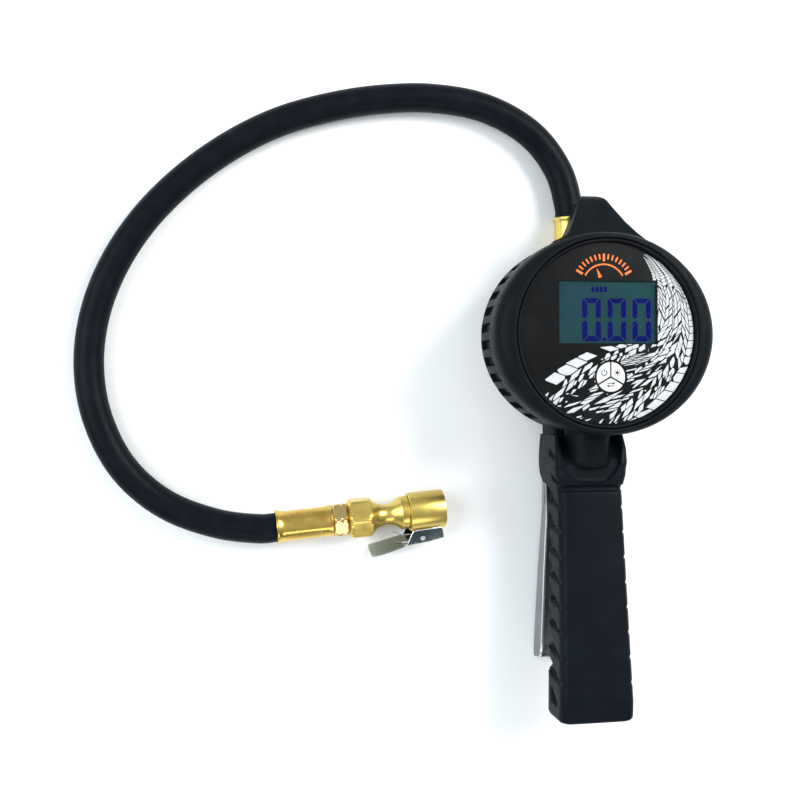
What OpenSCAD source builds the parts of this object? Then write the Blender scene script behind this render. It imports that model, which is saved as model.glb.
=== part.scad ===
// Tyre inflator with a digital gauge, lying on its back with its hose looped beside it.
// Millimetres. +Y runs from the grip to the hanging loop, +Z is up out of the display.
// The origin is under the middle of the gun, on the surface that it lies on.
// Most modules place things from the gauge's centre; in_frame() moves them to the origin.

/* [Gauge head] */
// Radius of the seam between the bezel ring and the rubber boot
seam_r = 43; // [42.5:0.1:43.2]
// Height of the front edge of the boot above the surface
face_z = 66; // [65.6:0.1:67]
// Half width of the rubber boot across the gun
boot_a = 52.3; // [51:0.1:54]
// Half height of the rubber boot along the gun
boot_b = 46.4; // [46:0.1:46.6]
// Height of the back of the boot above the surface
head_back_z = 22; // [21.8:0.1:22.4]
// Grip notches around the back of the boot
boot_notches = 36; // [24:2:44]
// Width of the display window
window_w = 46; // [42:0.5:47]
// Height of the display window
window_h = 28; // [24:0.5:29]
// Radius of the round three-part key pad
key_pad_r = 6.7; // [6:0.1:7]

/* [Hanging loop] */
// Distance from the gauge's centre to the end of the loop
loop_reach = 66.5; // [65:0.5:70]
// Half width of the loop at its end
loop_end_half = 6.6; // [6:0.1:9]
// Half width of the loop where it leaves the boot
loop_root_half = 24; // [20:0.5:27]
// How much narrower each side is at the loop's back
loop_draft = 8; // [0:0.5:10]
// Height of the loop's front where it leaves the boot
loop_top_z = 58; // [50:1:60]

/* [Grip] */
// Distance from the gauge's centre to the end of the grip
grip_reach = 180.5; // [178:0.5:184]
// Half width of the grip at its top
grip_half_top = 15.5; // [15:0.1:17]
// Half width of the grip at its lower end
grip_half_end = 17.6; // [17:0.1:20]
// Angle at which the grip rises towards the front
grip_lean = 3.5; // [3:0.1:3.8]
// Slanted grooves on each side of the grip
side_grooves = 8; // [5:1:8]
// Radius of the inlet's threaded hole, a G1/4 thread's minor radius
inlet_r = 5.72; // [5.5:0.01:6]
// Length of the inlet's thread
inlet_len = 12; // [10:0.5:13]

/* [Trigger] */
// Half width of the pressed-steel lever
lever_half = 15.5; // [15.3:0.1:15.7]
// Thickness of the lever's sheet
lever_t = 1.6; // [1.4:0.1:1.7]
// Distance from the gauge's centre to the lever's tip
lever_reach = 159; // [150:1:162]
// Radius of the lever's pivot pin
pivot_r = 2; // [1.8:0.1:2.2]

/* [Hose] */
// Outer diameter of the rubber hose
hose_d = 14; // [13:0.5:14]
// Sides of the plain hose tube
hose_sides = 12; // [8:1:12]

/* [Chuck] */
// Radius of the chuck's round head
chuck_r = 9.3; // [9:0.1:9.6]
// Radius of the socket that takes a tyre valve
socket_r = 4.1; // [4:0.05:4.3]
// Depth of the socket
socket_len = 10; // [9:0.5:10]
// Size across flats of the chuck's large hexagon
chuck_hex_af = 17.5; // [16:0.5:18]
// Size across flats of the small hexagon nut
swivel_hex_af = 15; // [14:0.5:16]
// How far the clip is rolled down around the chuck's axis
clip_roll = 18; // [0:1:18]

/* [Hidden] */
$fn = 64;

// Small gap that keeps neighbouring pieces apart
gap = 0.2;
// Extra length that makes a cutter run past a face
over = 1;
head_y = (grip_reach - loop_reach) / 2;

// Gauge stack, by height
case_r = seam_r - 0.3;
case_wall = 2;
case_back_z = head_back_z + 2;
case_front_z = face_z - 6;
case_floor = 3;
plate_z = case_front_z + gap;
overlay_z = face_z - 2.8;
overlay_t = 0.8;
board_z = face_z - 10.6;
board_t = 1.6;
board_r = 38;
window_y = 9.7;
key_y = -19.6;
key_x = 1;
key_gap = 0.5;
pillar_ring_r = 34;
pillar_angles = [90, 210, 330];
stem_z = 35;
stem_r = 3.5;
seal_y = -47;
neck_r = 10.8;
neck_base_y = -66;

// Grip frame: its middle line starts here and leans towards the front
grip_top_y = -70;
grip_top_z = 29.8;
grip_depth_top = 11.8;
grip_depth_end = 14;
grip_len = grip_reach + grip_top_y;
core_half = 10;
core_depth = 8.4;
boss_r = 9.4;
core_end = 109;
shoulder_half = 17.8;
shoulder_back_z = 14;
groove_pitch = 11.7;

// Trigger: pivot, and the line of the lever's outer face
pivot_y = -56;
pivot_z = 17;
ear_r = 8.5;
lever_slope = 7.55;
lever_tip_z = 0.25;
lever_top_y = -67;
plunger_y = -72;
plunger_tip_z = 13.7;
plunger_r = 2.5;
chamber_r = 5.05;

// Hose and the two ferrules
hose_z = 9.5;
ferrule_r = 7.8;
rim_r = 8.2;
mouth_r = 7.3;
mouth_depth = 4;
gun_mouth_y = 60.5;
chuck_at = [-147, -89.6, 12.2];
chuck_turn = 5;
route = [
  [0, 56.5, 9.5], [0, 66, 9.2], [-5, 85, 7.6], [-19, 102.6, 7.2], [-42, 114.5, 7.2],
  [-68, 118.4, 7.2], [-94, 117, 7.2], [-120, 112, 7.2], [-145, 103.8, 7.2], [-168, 91.4, 7.2],
  [-189, 75.5, 7.2], [-207, 56.8, 7.2], [-221, 35.5, 7.2], [-230, 12.5, 7.2], [-233.2, -12, 7.2],
  [-229.5, -37, 7.2], [-218, -60.5, 7.2], [-199.5, -77.5, 7.6], [-176, -87.2, 9.6],
  [-154.5, -90.3, 11.9], [-143.02, -89.25, 12.2]
];

// Chuck, measured along its axis from the ferrule's mouth
ferrule_end = 27;
swivel_end = 34.5;
hex_end = 45.5;
waist_mid = 53.5;
waist_end = 60.5;
collar_end = 64;
chuck_end = 81.5;
waist_r = 5.1;
collar_r = 8;
clip_x = 69.6;
clip_d = 11.6;
clip_pin_r = 1.2;
clip_half = 6.2;
clip_t = 0.9;

module in_frame() {
  translate([0, head_y, 0]) children();
}

module grip_frame() {
  translate([0, grip_top_y, grip_top_z]) rotate([-grip_lean, 0, 0]) children();
}

module chuck_frame() {
  translate(chuck_at) rotate([0, 0, chuck_turn]) rotate([clip_roll, 0, 0]) children();
}

// Cylinder along +X, +Y, from a start to an end
module rod_x(r, x0, x1, sides = 64) {
  translate([x0, 0, 0]) rotate([0, 90, 0]) cylinder(r = r, h = x1 - x0, $fn = sides);
}

module rod_y(r, y0, y1) {
  translate([0, y0, 0]) rotate([-90, 0, 0]) cylinder(r = r, h = y1 - y0);
}

module box(x0, x1, y0, y1, z0, z1) {
  translate([x0, y0, z0]) cube([x1 - x0, y1 - y0, z1 - z0]);
}

function oval(a, b, count = 96) =
  [for (i = [0:count - 1]) [a * cos(360 * i / count), b * sin(360 * i / count)]];

module oval_slab(a, b, z0, z1) {
  translate([0, 0, z0]) linear_extrude(z1 - z0) polygon(oval(a, b));
}

// ---- Gun body and valve ----

module grip_core() {
  grip_frame() {
    box(-core_half, core_half, -core_end + 8, 4, -core_depth, core_depth);
    rod_y(boss_r, -core_end, -core_end + 16);
  }
}

module neck_block() {
  box(-12, 12, -86, -60, 17, 40);
  translate([0, 0, stem_z]) rod_y(neck_r, neck_base_y, -43);
  box(-13.4, 13.4, -65, -47, 12, 28);
  box(-12, 12, -65, -38, 1, 21.5);
}

module rear_pipe() {
  translate([0, 0, hose_z]) rod_y(9, -44, 38);
  box(-12, 12, -42, 36, 0, 7);
}

module valve_body() {
  color([0.09, 0.09, 0.1]) difference() {
    union() {
      grip_core();
      neck_block();
      rear_pipe();
    }
    grip_frame() {
      rod_y(inlet_r, -core_end - over, -core_end + inlet_len);
      rod_y(4.6, -core_end + inlet_len - 0.5, -core_end + inlet_len + 5);
      rod_y(3.5, -core_end + inlet_len + 4, 0);
    }
    translate([0, plunger_y, 0]) {
      translate([0, 0, 14]) cylinder(r = plunger_r + 0.05, h = 10);
      translate([0, 0, 20.5]) cylinder(r = chamber_r, h = 15.6);
      translate([0, 0, 36]) cylinder(r = 6.05, h = 10);
    }
    translate([0, 0, stem_z]) {
      rod_y(1.6, -64, -58);
      rod_y(stem_r + 0.05, -58.5, -42);
      rod_y(5.25, seal_y - 1.05, seal_y + 1.05);
    }
    translate([0, -63.2, 9]) cylinder(r = 1.6, h = stem_z - 9);
    translate([0, 0, 21.6]) rod_y(1, -68, -63.2);
    translate([0, 0, hose_z]) rod_y(3, -66.5, 30);
    translate([0, 0, hose_z]) rod_y(5.05, 28, 39);
    translate([0, pivot_y, pivot_z]) rod_x(pivot_r + 0.02, -20, 20);
  }
}

module inlet_filter() {
  color([0.72, 0.6, 0.35]) grip_frame() difference() {
    rod_y(4.5, -core_end + inlet_len + 0.2, -core_end + inlet_len + 4.7);
    rod_y(2.6, -core_end + inlet_len + 1.4, -core_end + inlet_len + 6);
  }
}

module valve_seat() {
  color([0.8, 0.66, 0.35]) translate([0, plunger_y, 22]) difference() {
    cylinder(r = chamber_r - 0.03, h = 2);
    translate([0, 0, -over]) cylinder(r = plunger_r + 0.1, h = 4);
  }
}

module stem_oring() {
  color([0.05, 0.05, 0.05]) translate([0, plunger_y, 21.25])
    rotate_extrude() translate([3.3, 0]) circle(r = 0.7, $fn = 24);
}

module valve_plunger() {
  color([0.8, 0.8, 0.82]) translate([0, plunger_y, 0]) {
    translate([0, 0, plunger_tip_z]) cylinder(r = plunger_r - 0.5, h = 0.6);
    translate([0, 0, plunger_tip_z + 0.5]) cylinder(r = plunger_r, h = 10.6);
    translate([0, 0, 24.1]) cylinder(r = 4.4, h = 2.9);
    translate([0, 0, 26.9]) cylinder(r = 1.8, h = 2.6);
  }
}

module valve_spring() {
  color([0.7, 0.7, 0.72]) translate([0, plunger_y, 27.05]) difference() {
    cylinder(r = 3.8, h = 8.9);
    translate([0, 0, -over]) cylinder(r = 2.9, h = 12);
  }
}

module valve_cap() {
  color([0.8, 0.66, 0.35]) translate([0, plunger_y, 36.02]) difference() {
    cylinder(r = 6, h = 3.9);
    translate([0, 0, 2.4]) cylinder(r = 2.9, h = 3, $fn = 6);
  }
}

// ---- Grip sleeve ----

module grip_section(v, half, depth) {
  front_r = 4;
  rear_r = 6;
  for (s = [-1, 1]) {
    translate([s * (half - front_r), v, depth - front_r]) rod_y_thin(front_r);
    translate([s * (half - rear_r), v, rear_r - depth]) rod_y_thin(rear_r);
  }
}

module rod_y_thin(r) {
  rotate([-90, 0, 0]) cylinder(r = r, h = 0.5, $fn = 32);
}

module grip_outer() {
  grip_frame() hull() {
    grip_section(-2, grip_half_top, grip_depth_top);
    grip_section(-grip_len - 3, grip_half_end, grip_depth_end);
  }
}

module shoulder_outer() {
  w = shoulder_half;
  intersection() {
    translate([0, 0, shoulder_back_z]) linear_extrude(40) polygon([
      [-w + 0.9, -46.8], [-w + 0.3, -52], [-w, -58], [-w + 0.4, -64], [-w + 2, -70], [-w + 2.4, -74],
      [w - 2.4, -74], [w - 2, -70], [w - 0.4, -64], [w, -58], [w - 0.3, -52], [w - 0.9, -46.8]
    ]);
    translate([-30, 0, 0]) rotate([90, 0, 90]) linear_extrude(60) polygon([
      [-46, 10], [-46, 37.5], [-53, 41], [-60, 43], [-66, 43.2], [-75, 41.8], [-75, 10]
    ]);
  }
}

// The open front of the neck, where the casting's round neck shows
module neck_scoop() {
  intersection() {
    translate([0, 0, 30]) linear_extrude(30) polygon([
      [-16.2, -40], [-16.2, -47], [-15.8, -53], [-14.3, -60], [-11, -64.6], [-5, -69.2],
      [5, -69.2], [11, -64.6], [14.3, -60], [15.8, -53], [16.2, -47], [16.2, -40]
    ]);
    translate([-20, 0, 0]) rotate([90, 0, 90]) linear_extrude(40) polygon([
      [-30, 29], [-57.5, 29], [-60, 40.4], [-62, 41.5], [-71, 41.8], [-71, 61], [-30, 61]
    ]);
  }
}

// Space behind the neck for the lever's ears and for its flanges
module lever_room() {
  box(-15.9, 15.9, -66.5, -40, 0, 27.5);
  box(-15.9, 15.9, -90, -66, 0, 19.3);
}

module side_groove_cuts() {
  grip_frame() for (s = [-1, 1]) for (i = [0:side_grooves - 1]) {
    down = 6.4 + i * groove_pitch;
    across = grip_half_top + (grip_half_end - grip_half_top) * down / grip_len;
    translate([s * across, -down, -1.5]) rotate([32, 0, 0]) cube([2.2, 3.4, 19], center = true);
  }
}

module handle_sleeve() {
  color([0.07, 0.08, 0.1]) difference() {
    union() {
      grip_outer();
      shoulder_outer();
    }
    box(-40, 40, -grip_reach - 20, -grip_reach, 0, 90);
    grip_frame() {
      box(-core_half - gap, core_half + gap, -core_end + 7, 6, -core_depth - gap, core_depth + gap);
      rod_y(boss_r + gap, -grip_len - 8, -core_end + 16.3);
    }
    lever_room();
    box(-13.6, 13.6, -65.3, -40, 0, 31);
    box(-12.2, 12.2, -86.3, -60, 16.8, 40.3);
    translate([0, 0, stem_z]) rod_y(neck_r + gap, neck_base_y - gap, -40);
    neck_scoop();
    side_groove_cuts();
  }
}

// ---- Trigger ----

// Frame on the lever's outer face at the pivot, with -Y running down the lever
module lever_frame() {
  z_at_pivot = lever_tip_z + (lever_reach + pivot_y) * tan(lever_slope);
  translate([0, pivot_y, z_at_pivot]) rotate([lever_slope, 0, 0]) children();
}

module lever_flange(s) {
  tip = (lever_reach + pivot_y) / cos(lever_slope);
  top = -(lever_top_y - pivot_y) / cos(lever_slope);
  x_in = lever_half - lever_t;
  translate([s > 0 ? x_in : -lever_half, 0, 0]) rotate([90, 0, 90]) linear_extrude(lever_t)
    polygon([[-tip, 0], [-tip, 5.5], [-tip + 3, 7.6], [-tip + 30, 7.2], [-top - 12, 4.6], [-6, 4.6],
      [0, 6], [0, 0]]);
}

module trigger_lever() {
  tip = (lever_reach + pivot_y) / cos(lever_slope);
  top = -(lever_top_y - pivot_y) / cos(lever_slope);
  color([0.82, 0.84, 0.86]) difference() {
    union() {
      lever_frame() {
        box(-lever_half, lever_half, -tip, -top, 0, lever_t);
        box(-lever_half, lever_half, -tip, -tip + lever_t, 0, 4);
        for (s = [-1, 1]) lever_flange(s);
      }
      for (s = [-1, 1]) translate([0, pivot_y, pivot_z])
        rod_x(ear_r, s > 0 ? lever_half - lever_t : -lever_half, s > 0 ? lever_half : lever_t - lever_half);
    }
    translate([0, pivot_y, pivot_z]) rod_x(pivot_r + 0.05, -20, 20);
  }
}

module trigger_pin() {
  color([0.75, 0.76, 0.78]) translate([0, pivot_y, pivot_z]) rod_x(pivot_r, -15.85, 15.85);
}

module pin_rings() {
  color([0.6, 0.6, 0.62]) for (s = [-1, 1]) translate([s * 13.65, pivot_y, pivot_z]) difference() {
    rod_x(3.6, -0.2, 0.2);
    rod_x(pivot_r + 0.02, -over, over);
  }
}

// ---- Gauge ----

module gauge_stem() {
  color([0.2, 0.2, 0.22]) translate([0, 0, stem_z]) difference() {
    union() {
      rod_y(stem_r, -58.3, -36);
      rod_y(5.2, -40.2, -37.4);
    }
    rod_y(1, -60, -30);
  }
}

module stem_seal() {
  color([0.05, 0.05, 0.05]) translate([0, seal_y, stem_z]) rotate([90, 0, 0])
    rotate_extrude() translate([4.3, 0]) circle(r = 0.75, $fn = 24);
}

module pillars(r, z0, z1) {
  for (a = pillar_angles)
    translate([pillar_ring_r * cos(a), pillar_ring_r * sin(a), z0]) cylinder(r = r, h = z1 - z0);
}

module gauge_case() {
  color([0.06, 0.06, 0.07]) difference() {
    union() {
      difference() {
        translate([0, 0, case_back_z]) cylinder(r = case_r, h = case_front_z - case_back_z);
        translate([0, 0, case_back_z + case_floor])
          cylinder(r = case_r - case_wall, h = case_front_z - case_back_z);
      }
      pillars(2.8, case_back_z + 1, board_z);
    }
    pillars(1, board_z - 8, board_z + 1);
    box(-14.7, 14.7, -26.7, 26.7, case_back_z - over, case_back_z + case_floor + over);
    translate([0, 0, stem_z]) rod_y(stem_r + 0.1, -50, -38);
  }
}

// Outline of the loop seen from the front at one height. The loop narrows towards its back.
module loop_outline(z, root_half, end_half) {
  translate([0, 0, z]) linear_extrude(0.1) polygon([
    [-root_half, 40], [-root_half, 43.5], [-end_half, loop_reach - 1], [1 - end_half, loop_reach],
    [end_half - 1, loop_reach], [end_half, loop_reach - 1], [root_half, 43.5], [root_half, 40]
  ]);
}

module loop_solid() {
  intersection() {
    hull() {
      loop_outline(head_back_z, loop_root_half - loop_draft, loop_end_half - 3.6);
      loop_outline(loop_top_z, loop_root_half + 1, loop_end_half + 4.4);
    }
    translate([-40, 0, 0]) rotate([90, 0, 90]) linear_extrude(80) polygon([
      [40, 28], [58, 28], [63, 29], [loop_reach + 1, 31.5], [loop_reach + 1, 40], [64, 43.5], [52, 50], [40, 58]
    ]);
  }
}

module loop_hole() {
  translate([-40, 58.6, 35.6]) rotate([90, 0, 90]) linear_extrude(80)
    square([9.6, 6.4], center = true);
}

module boot_notch_cuts() {
  for (i = [0:boot_notches - 1]) {
    a = 360 * (i + 0.5) / boot_notches;
    if (abs(cos(a)) > 0.45) {
      rx = (boot_a - 1.8) * cos(a);
      ry = (boot_b - 0.2) * sin(a);
      translate([rx, ry, 35.5]) rotate([0, 0, a]) cube([3.2, 4.4, 17], center = true);
    }
  }
}

module boot() {
  color([0.06, 0.07, 0.09]) difference() {
    union() {
      oval_slab(boot_a - 4.5, boot_b - 1.6, head_back_z, 26);
      oval_slab(boot_a - 2.3, boot_b - 0.5, 26, 46);
      oval_slab(boot_a - 1, boot_b - 0.3, 46, 50);
      oval_slab(boot_a, boot_b, 50, 61);
      oval_slab(boot_a - 1.8, boot_b - 0.5, 61, 64);
      oval_slab(boot_a - 4.5, boot_b - 1.4, 64, face_z);
      loop_solid();
    }
    translate([0, 0, case_back_z - 0.2]) cylinder(r = case_r + 0.15, h = 60);
    translate([0, 0, head_back_z - over]) cylinder(r = 36, h = 10);
    translate([0, 0, stem_z]) rod_y(neck_r + 0.3, -54, -42);
    loop_hole();
    boot_notch_cuts();
  }
}

module gauge_bezel() {
  color([0.05, 0.05, 0.06]) translate([0, 0, case_front_z + 0.05]) difference() {
    cylinder(r = seam_r - 0.3, h = 6.15);
    translate([0, 0, -over]) cylinder(r = seam_r - 1.6, h = 9);
  }
}

module window_cut(extra, z0, z1) {
  w = window_w / 2 + extra;
  h = window_h / 2 + extra;
  box(-w, w, window_y - h, window_y + h, z0, z1);
}

module front_plate() {
  color([0.04, 0.04, 0.05]) difference() {
    translate([0, 0, plate_z]) cylinder(r = seam_r - 1.8, h = overlay_z - plate_z);
    window_cut(3, plate_z - over, overlay_z + over);
    translate([key_x, key_y, plate_z - over]) cylinder(r = key_pad_r + 0.3, h = 9);
  }
}

module face_overlay() {
  color([0.02, 0.02, 0.025]) difference() {
    translate([0, 0, overlay_z]) cylinder(r = seam_r - 1.8, h = overlay_t);
    window_cut(0.1, overlay_z - over, overlay_z + 3);
    translate([key_x, key_y, overlay_z - over]) cylinder(r = key_pad_r + 0.3, h = 9);
  }
}

module display_window() {
  color([0.5, 0.62, 0.62, 0.4]) window_cut(0, overlay_z - 0.25, overlay_z + overlay_t - 0.1);
}

module display_module() {
  color([0.35, 0.45, 0.45]) window_cut(2.7, overlay_z - 3.2, overlay_z - 0.4);
}

module display_strips() {
  color([0.2, 0.2, 0.2]) for (s = [-1, 1]) {
    y = window_y + s * (window_h / 2 + 0.8);
    box(-21, 21, y - 1, y + 1, board_z + board_t, overlay_z - 3.2);
  }
}

module circuit_board() {
  color([0.1, 0.35, 0.2]) difference() {
    translate([0, 0, board_z]) cylinder(r = board_r, h = board_t);
    pillars(1.4, board_z - over, board_z + 4);
  }
}

module board_screws() {
  color([0.75, 0.75, 0.78]) {
    pillars(0.98, board_z - 6, board_z + board_t + 0.1);
    difference() {
      pillars(2.1, board_z + board_t, board_z + board_t + 1.3);
      pillars(0.8, board_z + board_t + 0.7, board_z + 6);
    }
  }
}

module key_switches() {
  color([0.15, 0.15, 0.16]) for (a = [30, 150, 270])
    translate([key_x + 3.6 * cos(a), key_y + 3.6 * sin(a), board_z + board_t]) {
      box(-1.9, 1.9, -1.9, 1.9, 0, 1);
      cylinder(r = 0.9, h = 1.5);
    }
}

// One third of the round key pad, whose middle points along the angle a
module key_sector(a) {
  translate([key_x, key_y, 0]) intersection() {
    union() {
      translate([0, 0, board_z + board_t + 2.2]) cylinder(r = key_pad_r + 0.1, h = 1);
      translate([0, 0, board_z + board_t + 3]) cylinder(r = key_pad_r, h = face_z - 1.95 - board_z - board_t - 3);
    }
    rotate([0, 0, a]) translate([key_gap, 0, 0]) linear_extrude(90)
      polygon([[0, 0], [20, -20 * tan(60)], [20, 20 * tan(60)]]);
  }
}

module power_key() {
  color("white") key_sector(150);
}

module light_key() {
  color("white") key_sector(30);
}

module unit_key() {
  color("white") key_sector(270);
}

module pressure_sensor() {
  color([0.75, 0.76, 0.78]) translate([0, 0, stem_z]) {
    rod_y(7, -35.9, -30);
    rod_y(4.5, -30.05, -27.2);
  }
}

module battery_tray() {
  color([0.08, 0.08, 0.09]) difference() {
    box(-14, 14, -26, 26, case_back_z + case_floor + 0.2, 40);
    for (s = [-1, 1]) translate([s * 6.2, 0, 33.2]) rod_y(5.5, -24.5, 24.5);
    box(-12.5, 12.5, -24.5, 24.5, case_back_z, 33.2);
  }
}

module batteries() {
  color([0.25, 0.28, 0.32]) for (s = [-1, 1]) translate([s * 6.2, 0, 33.2]) {
    rod_y(5.2, s > 0 ? -21.6 : -22.4, s > 0 ? 22.4 : 21.6);
    rod_y(1.9, s > 0 ? 22.4 : -23.2, s > 0 ? 23.2 : -22.4);
  }
}

module battery_contacts() {
  color([0.75, 0.72, 0.6]) for (s = [-1, 1]) for (e = [-1, 1])
    translate([s * 6.2, e * 23.85, 33.2]) box(-3.6, 3.6, -0.35, 0.35, -3.6, 3.6);
}

module cover_screw_at() {
  for (s = [-1, 1]) translate([0, s * 25.2, 0]) children();
}

module battery_cover() {
  color([0.07, 0.07, 0.08]) difference() {
    box(-14.4, 14.4, -26.4, 26.4, case_back_z + 0.2, case_back_z + 2.4);
    cover_screw_at() translate([0, 0, case_back_z - over]) cylinder(r = 0.9, h = 6);
    for (i = [-2:2]) box(-8, 8, i * 3 - 0.6, i * 3 + 0.6, case_back_z - over, case_back_z + 0.8);
  }
}

module cover_screws() {
  color([0.75, 0.75, 0.78]) cover_screw_at() translate([0, 0, case_back_z - 0.8]) difference() {
    union() {
      cylinder(r = 1.4, h = 1);
      cylinder(r = 0.85, h = 3.6);
    }
    translate([0, 0, -over]) cylinder(r = 0.6, h = 1.6, $fn = 6);
  }
}

// ---- Hose and its fittings ----

module hose_union() {
  color([0.8, 0.66, 0.35]) translate([0, 0, hose_z]) difference() {
    union() {
      rod_y(5, 30, 38.2);
      translate([0, 38.1, 0]) rotate([-90, 0, 0]) cylinder(r = 8.9, h = 5.8, $fn = 6);
    }
    rod_y(2.6, 28, 50);
  }
}

module ferrule_profile(length) {
  difference() {
    union() {
      cylinder(r = ferrule_r, h = length);
      translate([0, 0, length - 1.6]) cylinder(r = rim_r, h = 1.6);
      cylinder(r = ferrule_r + 0.2, h = 1.2);
    }
    translate([0, 0, length - mouth_depth]) cylinder(r = mouth_r, h = mouth_depth + over);
    translate([0, 0, -over]) cylinder(r = 5.2, h = length);
  }
}

module gun_ferrule() {
  color([0.85, 0.7, 0.32]) translate([0, 44, hose_z]) rotate([-90, 0, 0])
    ferrule_profile(gun_mouth_y - 44);
}

module gun_barb() {
  color([0.78, 0.64, 0.36]) translate([0, 0, hose_z]) difference() {
    rod_y(5.1, 43.95, 56.3);
    rod_y(2.6, 40, 60);
  }
}

function unit(v) = v / norm(v);

function tangent(p, i) =
  unit(p[min(i + 1, len(p) - 1)] - p[max(i - 1, 0)]);

function ring(p, i, r, sides) =
  let (t = tangent(p, i), side = unit(cross(t, [0, 0, 1])), up = cross(side, t))
  [for (k = [0:sides - 1]) p[i] + r * (cos(360 * k / sides) * side + sin(360 * k / sides) * up)];

module swept_tube(p, r, sides) {
  last = len(p) - 1;
  points = [for (i = [0:last]) each ring(p, i, r, sides)];
  walls = [for (i = [0:last - 1]) for (k = [0:sides - 1]) each [
    [i * sides + k, i * sides + (k + 1) % sides, (i + 1) * sides + k],
    [i * sides + (k + 1) % sides, (i + 1) * sides + (k + 1) % sides, (i + 1) * sides + k]
  ]];
  start = [[for (k = [0:sides - 1]) sides - 1 - k]];
  finish = [[for (k = [0:sides - 1]) last * sides + k]];
  polyhedron(points, concat(walls, start, finish));
}

module hose() {
  color([0.06, 0.07, 0.09]) swept_tube(route, hose_d / 2, hose_sides);
}

module end_ferrule() {
  color([0.85, 0.7, 0.32]) chuck_frame() translate([ferrule_end, 0, 0]) rotate([0, -90, 0])
    ferrule_profile(ferrule_end);
}

module end_barb() {
  color([0.78, 0.64, 0.36]) chuck_frame() difference() {
    rod_x(5.1, 4.4, ferrule_end - 0.1);
    rod_x(2.6, 0, 40);
  }
}

module swivel_nut() {
  color([0.86, 0.68, 0.5]) chuck_frame() difference() {
    union() {
      rod_x(swivel_hex_af / 2 / cos(30), ferrule_end + 0.8, swivel_end - 1, 6);
      rod_x(swivel_hex_af / 2 - 0.3, ferrule_end + 0.05, swivel_end);
    }
    rod_x(2.6, 20, 40);
  }
}

module chuck_body() {
  color([0.82, 0.68, 0.32]) chuck_frame() difference() {
    union() {
      rod_x(chuck_hex_af / 2 / cos(30), swivel_end + 0.9, hex_end - 0.9, 6);
      rod_x(chuck_hex_af / 2 - 0.2, swivel_end + 0.05, hex_end);
      rotate([0, 90, 0]) rotate_extrude() polygon([
        [0, hex_end - 0.5], [chuck_hex_af / 2 - 0.4, hex_end - 0.5], [chuck_hex_af / 2 - 1.2, hex_end + 1.2],
        [waist_r + 1.2, hex_end + 4], [waist_r + 0.2, hex_end + 6.4], [waist_r, waist_mid],
        [waist_r + 0.3, waist_mid + 1.8], [waist_r + 1.4, waist_mid + 4.4], [collar_r, waist_end],
        [collar_r, collar_end - 0.05], [0, collar_end - 0.05]
      ]);
    }
    rod_x(2.6, 20, 62);
    rod_x(1.02, 60, 66);
  }
}

// Round head with the valve socket, and the block that carries the clip's pin
module chuck_head() {
  color([0.85, 0.7, 0.34]) chuck_frame() difference() {
    union() {
      rod_x(chuck_r, collar_end, chuck_end);
      box(clip_x - 3, clip_x + 3, -clip_d - 2, 0, -4, 4);
    }
    rod_x(socket_r, chuck_end - socket_len, chuck_end + over);
    rod_x(4.6, 68.4, chuck_end - socket_len + 0.01);
    rod_x(2.6, collar_end + 1, 69);
    rod_x(1.02, collar_end - over, 66);
    translate([clip_x, -clip_d, -12]) cylinder(r = clip_pin_r + 0.02, h = 24);
    box(76.4, 80, -12, -3, -2.2, 2.2);
  }
}

module chuck_seal() {
  color([0.05, 0.05, 0.05]) chuck_frame() difference() {
    rod_x(4.55, 68.5, 71.4);
    rod_x(1.9, 60, 80);
  }
}

module valve_depressor() {
  color([0.8, 0.66, 0.35]) chuck_frame() {
    rod_x(1, 62.1, 70.5);
    rod_x(1.7, 69.8, 71.3);
  }
}

// Sheet-metal clip: two ears on the pin, a jaw at the mouth and a thumb plate behind
module clip_ear(s) {
  x0 = clip_x;
  translate([0, 0, s > 0 ? clip_half - clip_t : -clip_half]) linear_extrude(clip_t) polygon([
    [x0 - 7.4, -clip_d - 4.6], [x0 - 2.6, -clip_d + 2.4], [x0 + 2, -clip_d + 2.6], [x0 + 10.6, -clip_d + 1.6],
    [x0 + 10.6, -clip_d - 1.2], [x0 + 2, -clip_d - 4], [x0 - 7.4, -clip_d - 6.2]
  ]);
}

module clip_lever() {
  tail = clip_x - 25.2;
  color([0.8, 0.82, 0.84]) chuck_frame() difference() {
    union() {
      for (s = [-1, 1]) clip_ear(s);
      translate([0, 0, -clip_half]) linear_extrude(2 * clip_half) polygon([
        [tail, -clip_d - 6.6], [tail + 6, -clip_d - 7.4], [tail + 12, -clip_d - 7.2], [clip_x - 7, -clip_d - 5.7],
        [clip_x + 2, -clip_d - 3.5], [clip_x + 10.6, -clip_d - 0.7], [clip_x + 10.6, -clip_d - 1.6],
        [clip_x + 2, -clip_d - 4.4], [clip_x - 7, -clip_d - 6.6], [tail + 12, -clip_d - 8.1],
        [tail + 6, -clip_d - 8.3], [tail, -clip_d - 7.5]
      ]);
      box(clip_x + 7.2, clip_x + 8.1, -clip_d - 2.2, -socket_r - 0.8, -1.8, 1.8);
    }
    translate([clip_x, -clip_d, -20]) cylinder(r = clip_pin_r + 0.05, h = 40);
  }
}

module clip_pin() {
  color([0.6, 0.6, 0.62]) chuck_frame() translate([clip_x, -clip_d, -clip_half - 0.6])
    cylinder(r = clip_pin_r, h = 2 * clip_half + 1.2);
}

// Torsion spring: a coil on the pin beside the block, with one leg under the thumb plate
module clip_spring() {
  color([0.6, 0.6, 0.62]) chuck_frame() {
    difference() {
      translate([clip_x, -clip_d, 4.15]) cylinder(r = 1.95, h = 1);
      translate([clip_x, -clip_d, 2]) cylinder(r = clip_pin_r + 0.04, h = 9);
    }
    box(clip_x - 9, clip_x, -clip_d - 1.9, -clip_d - 1.4, 4.3, 4.8);
  }
}

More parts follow.
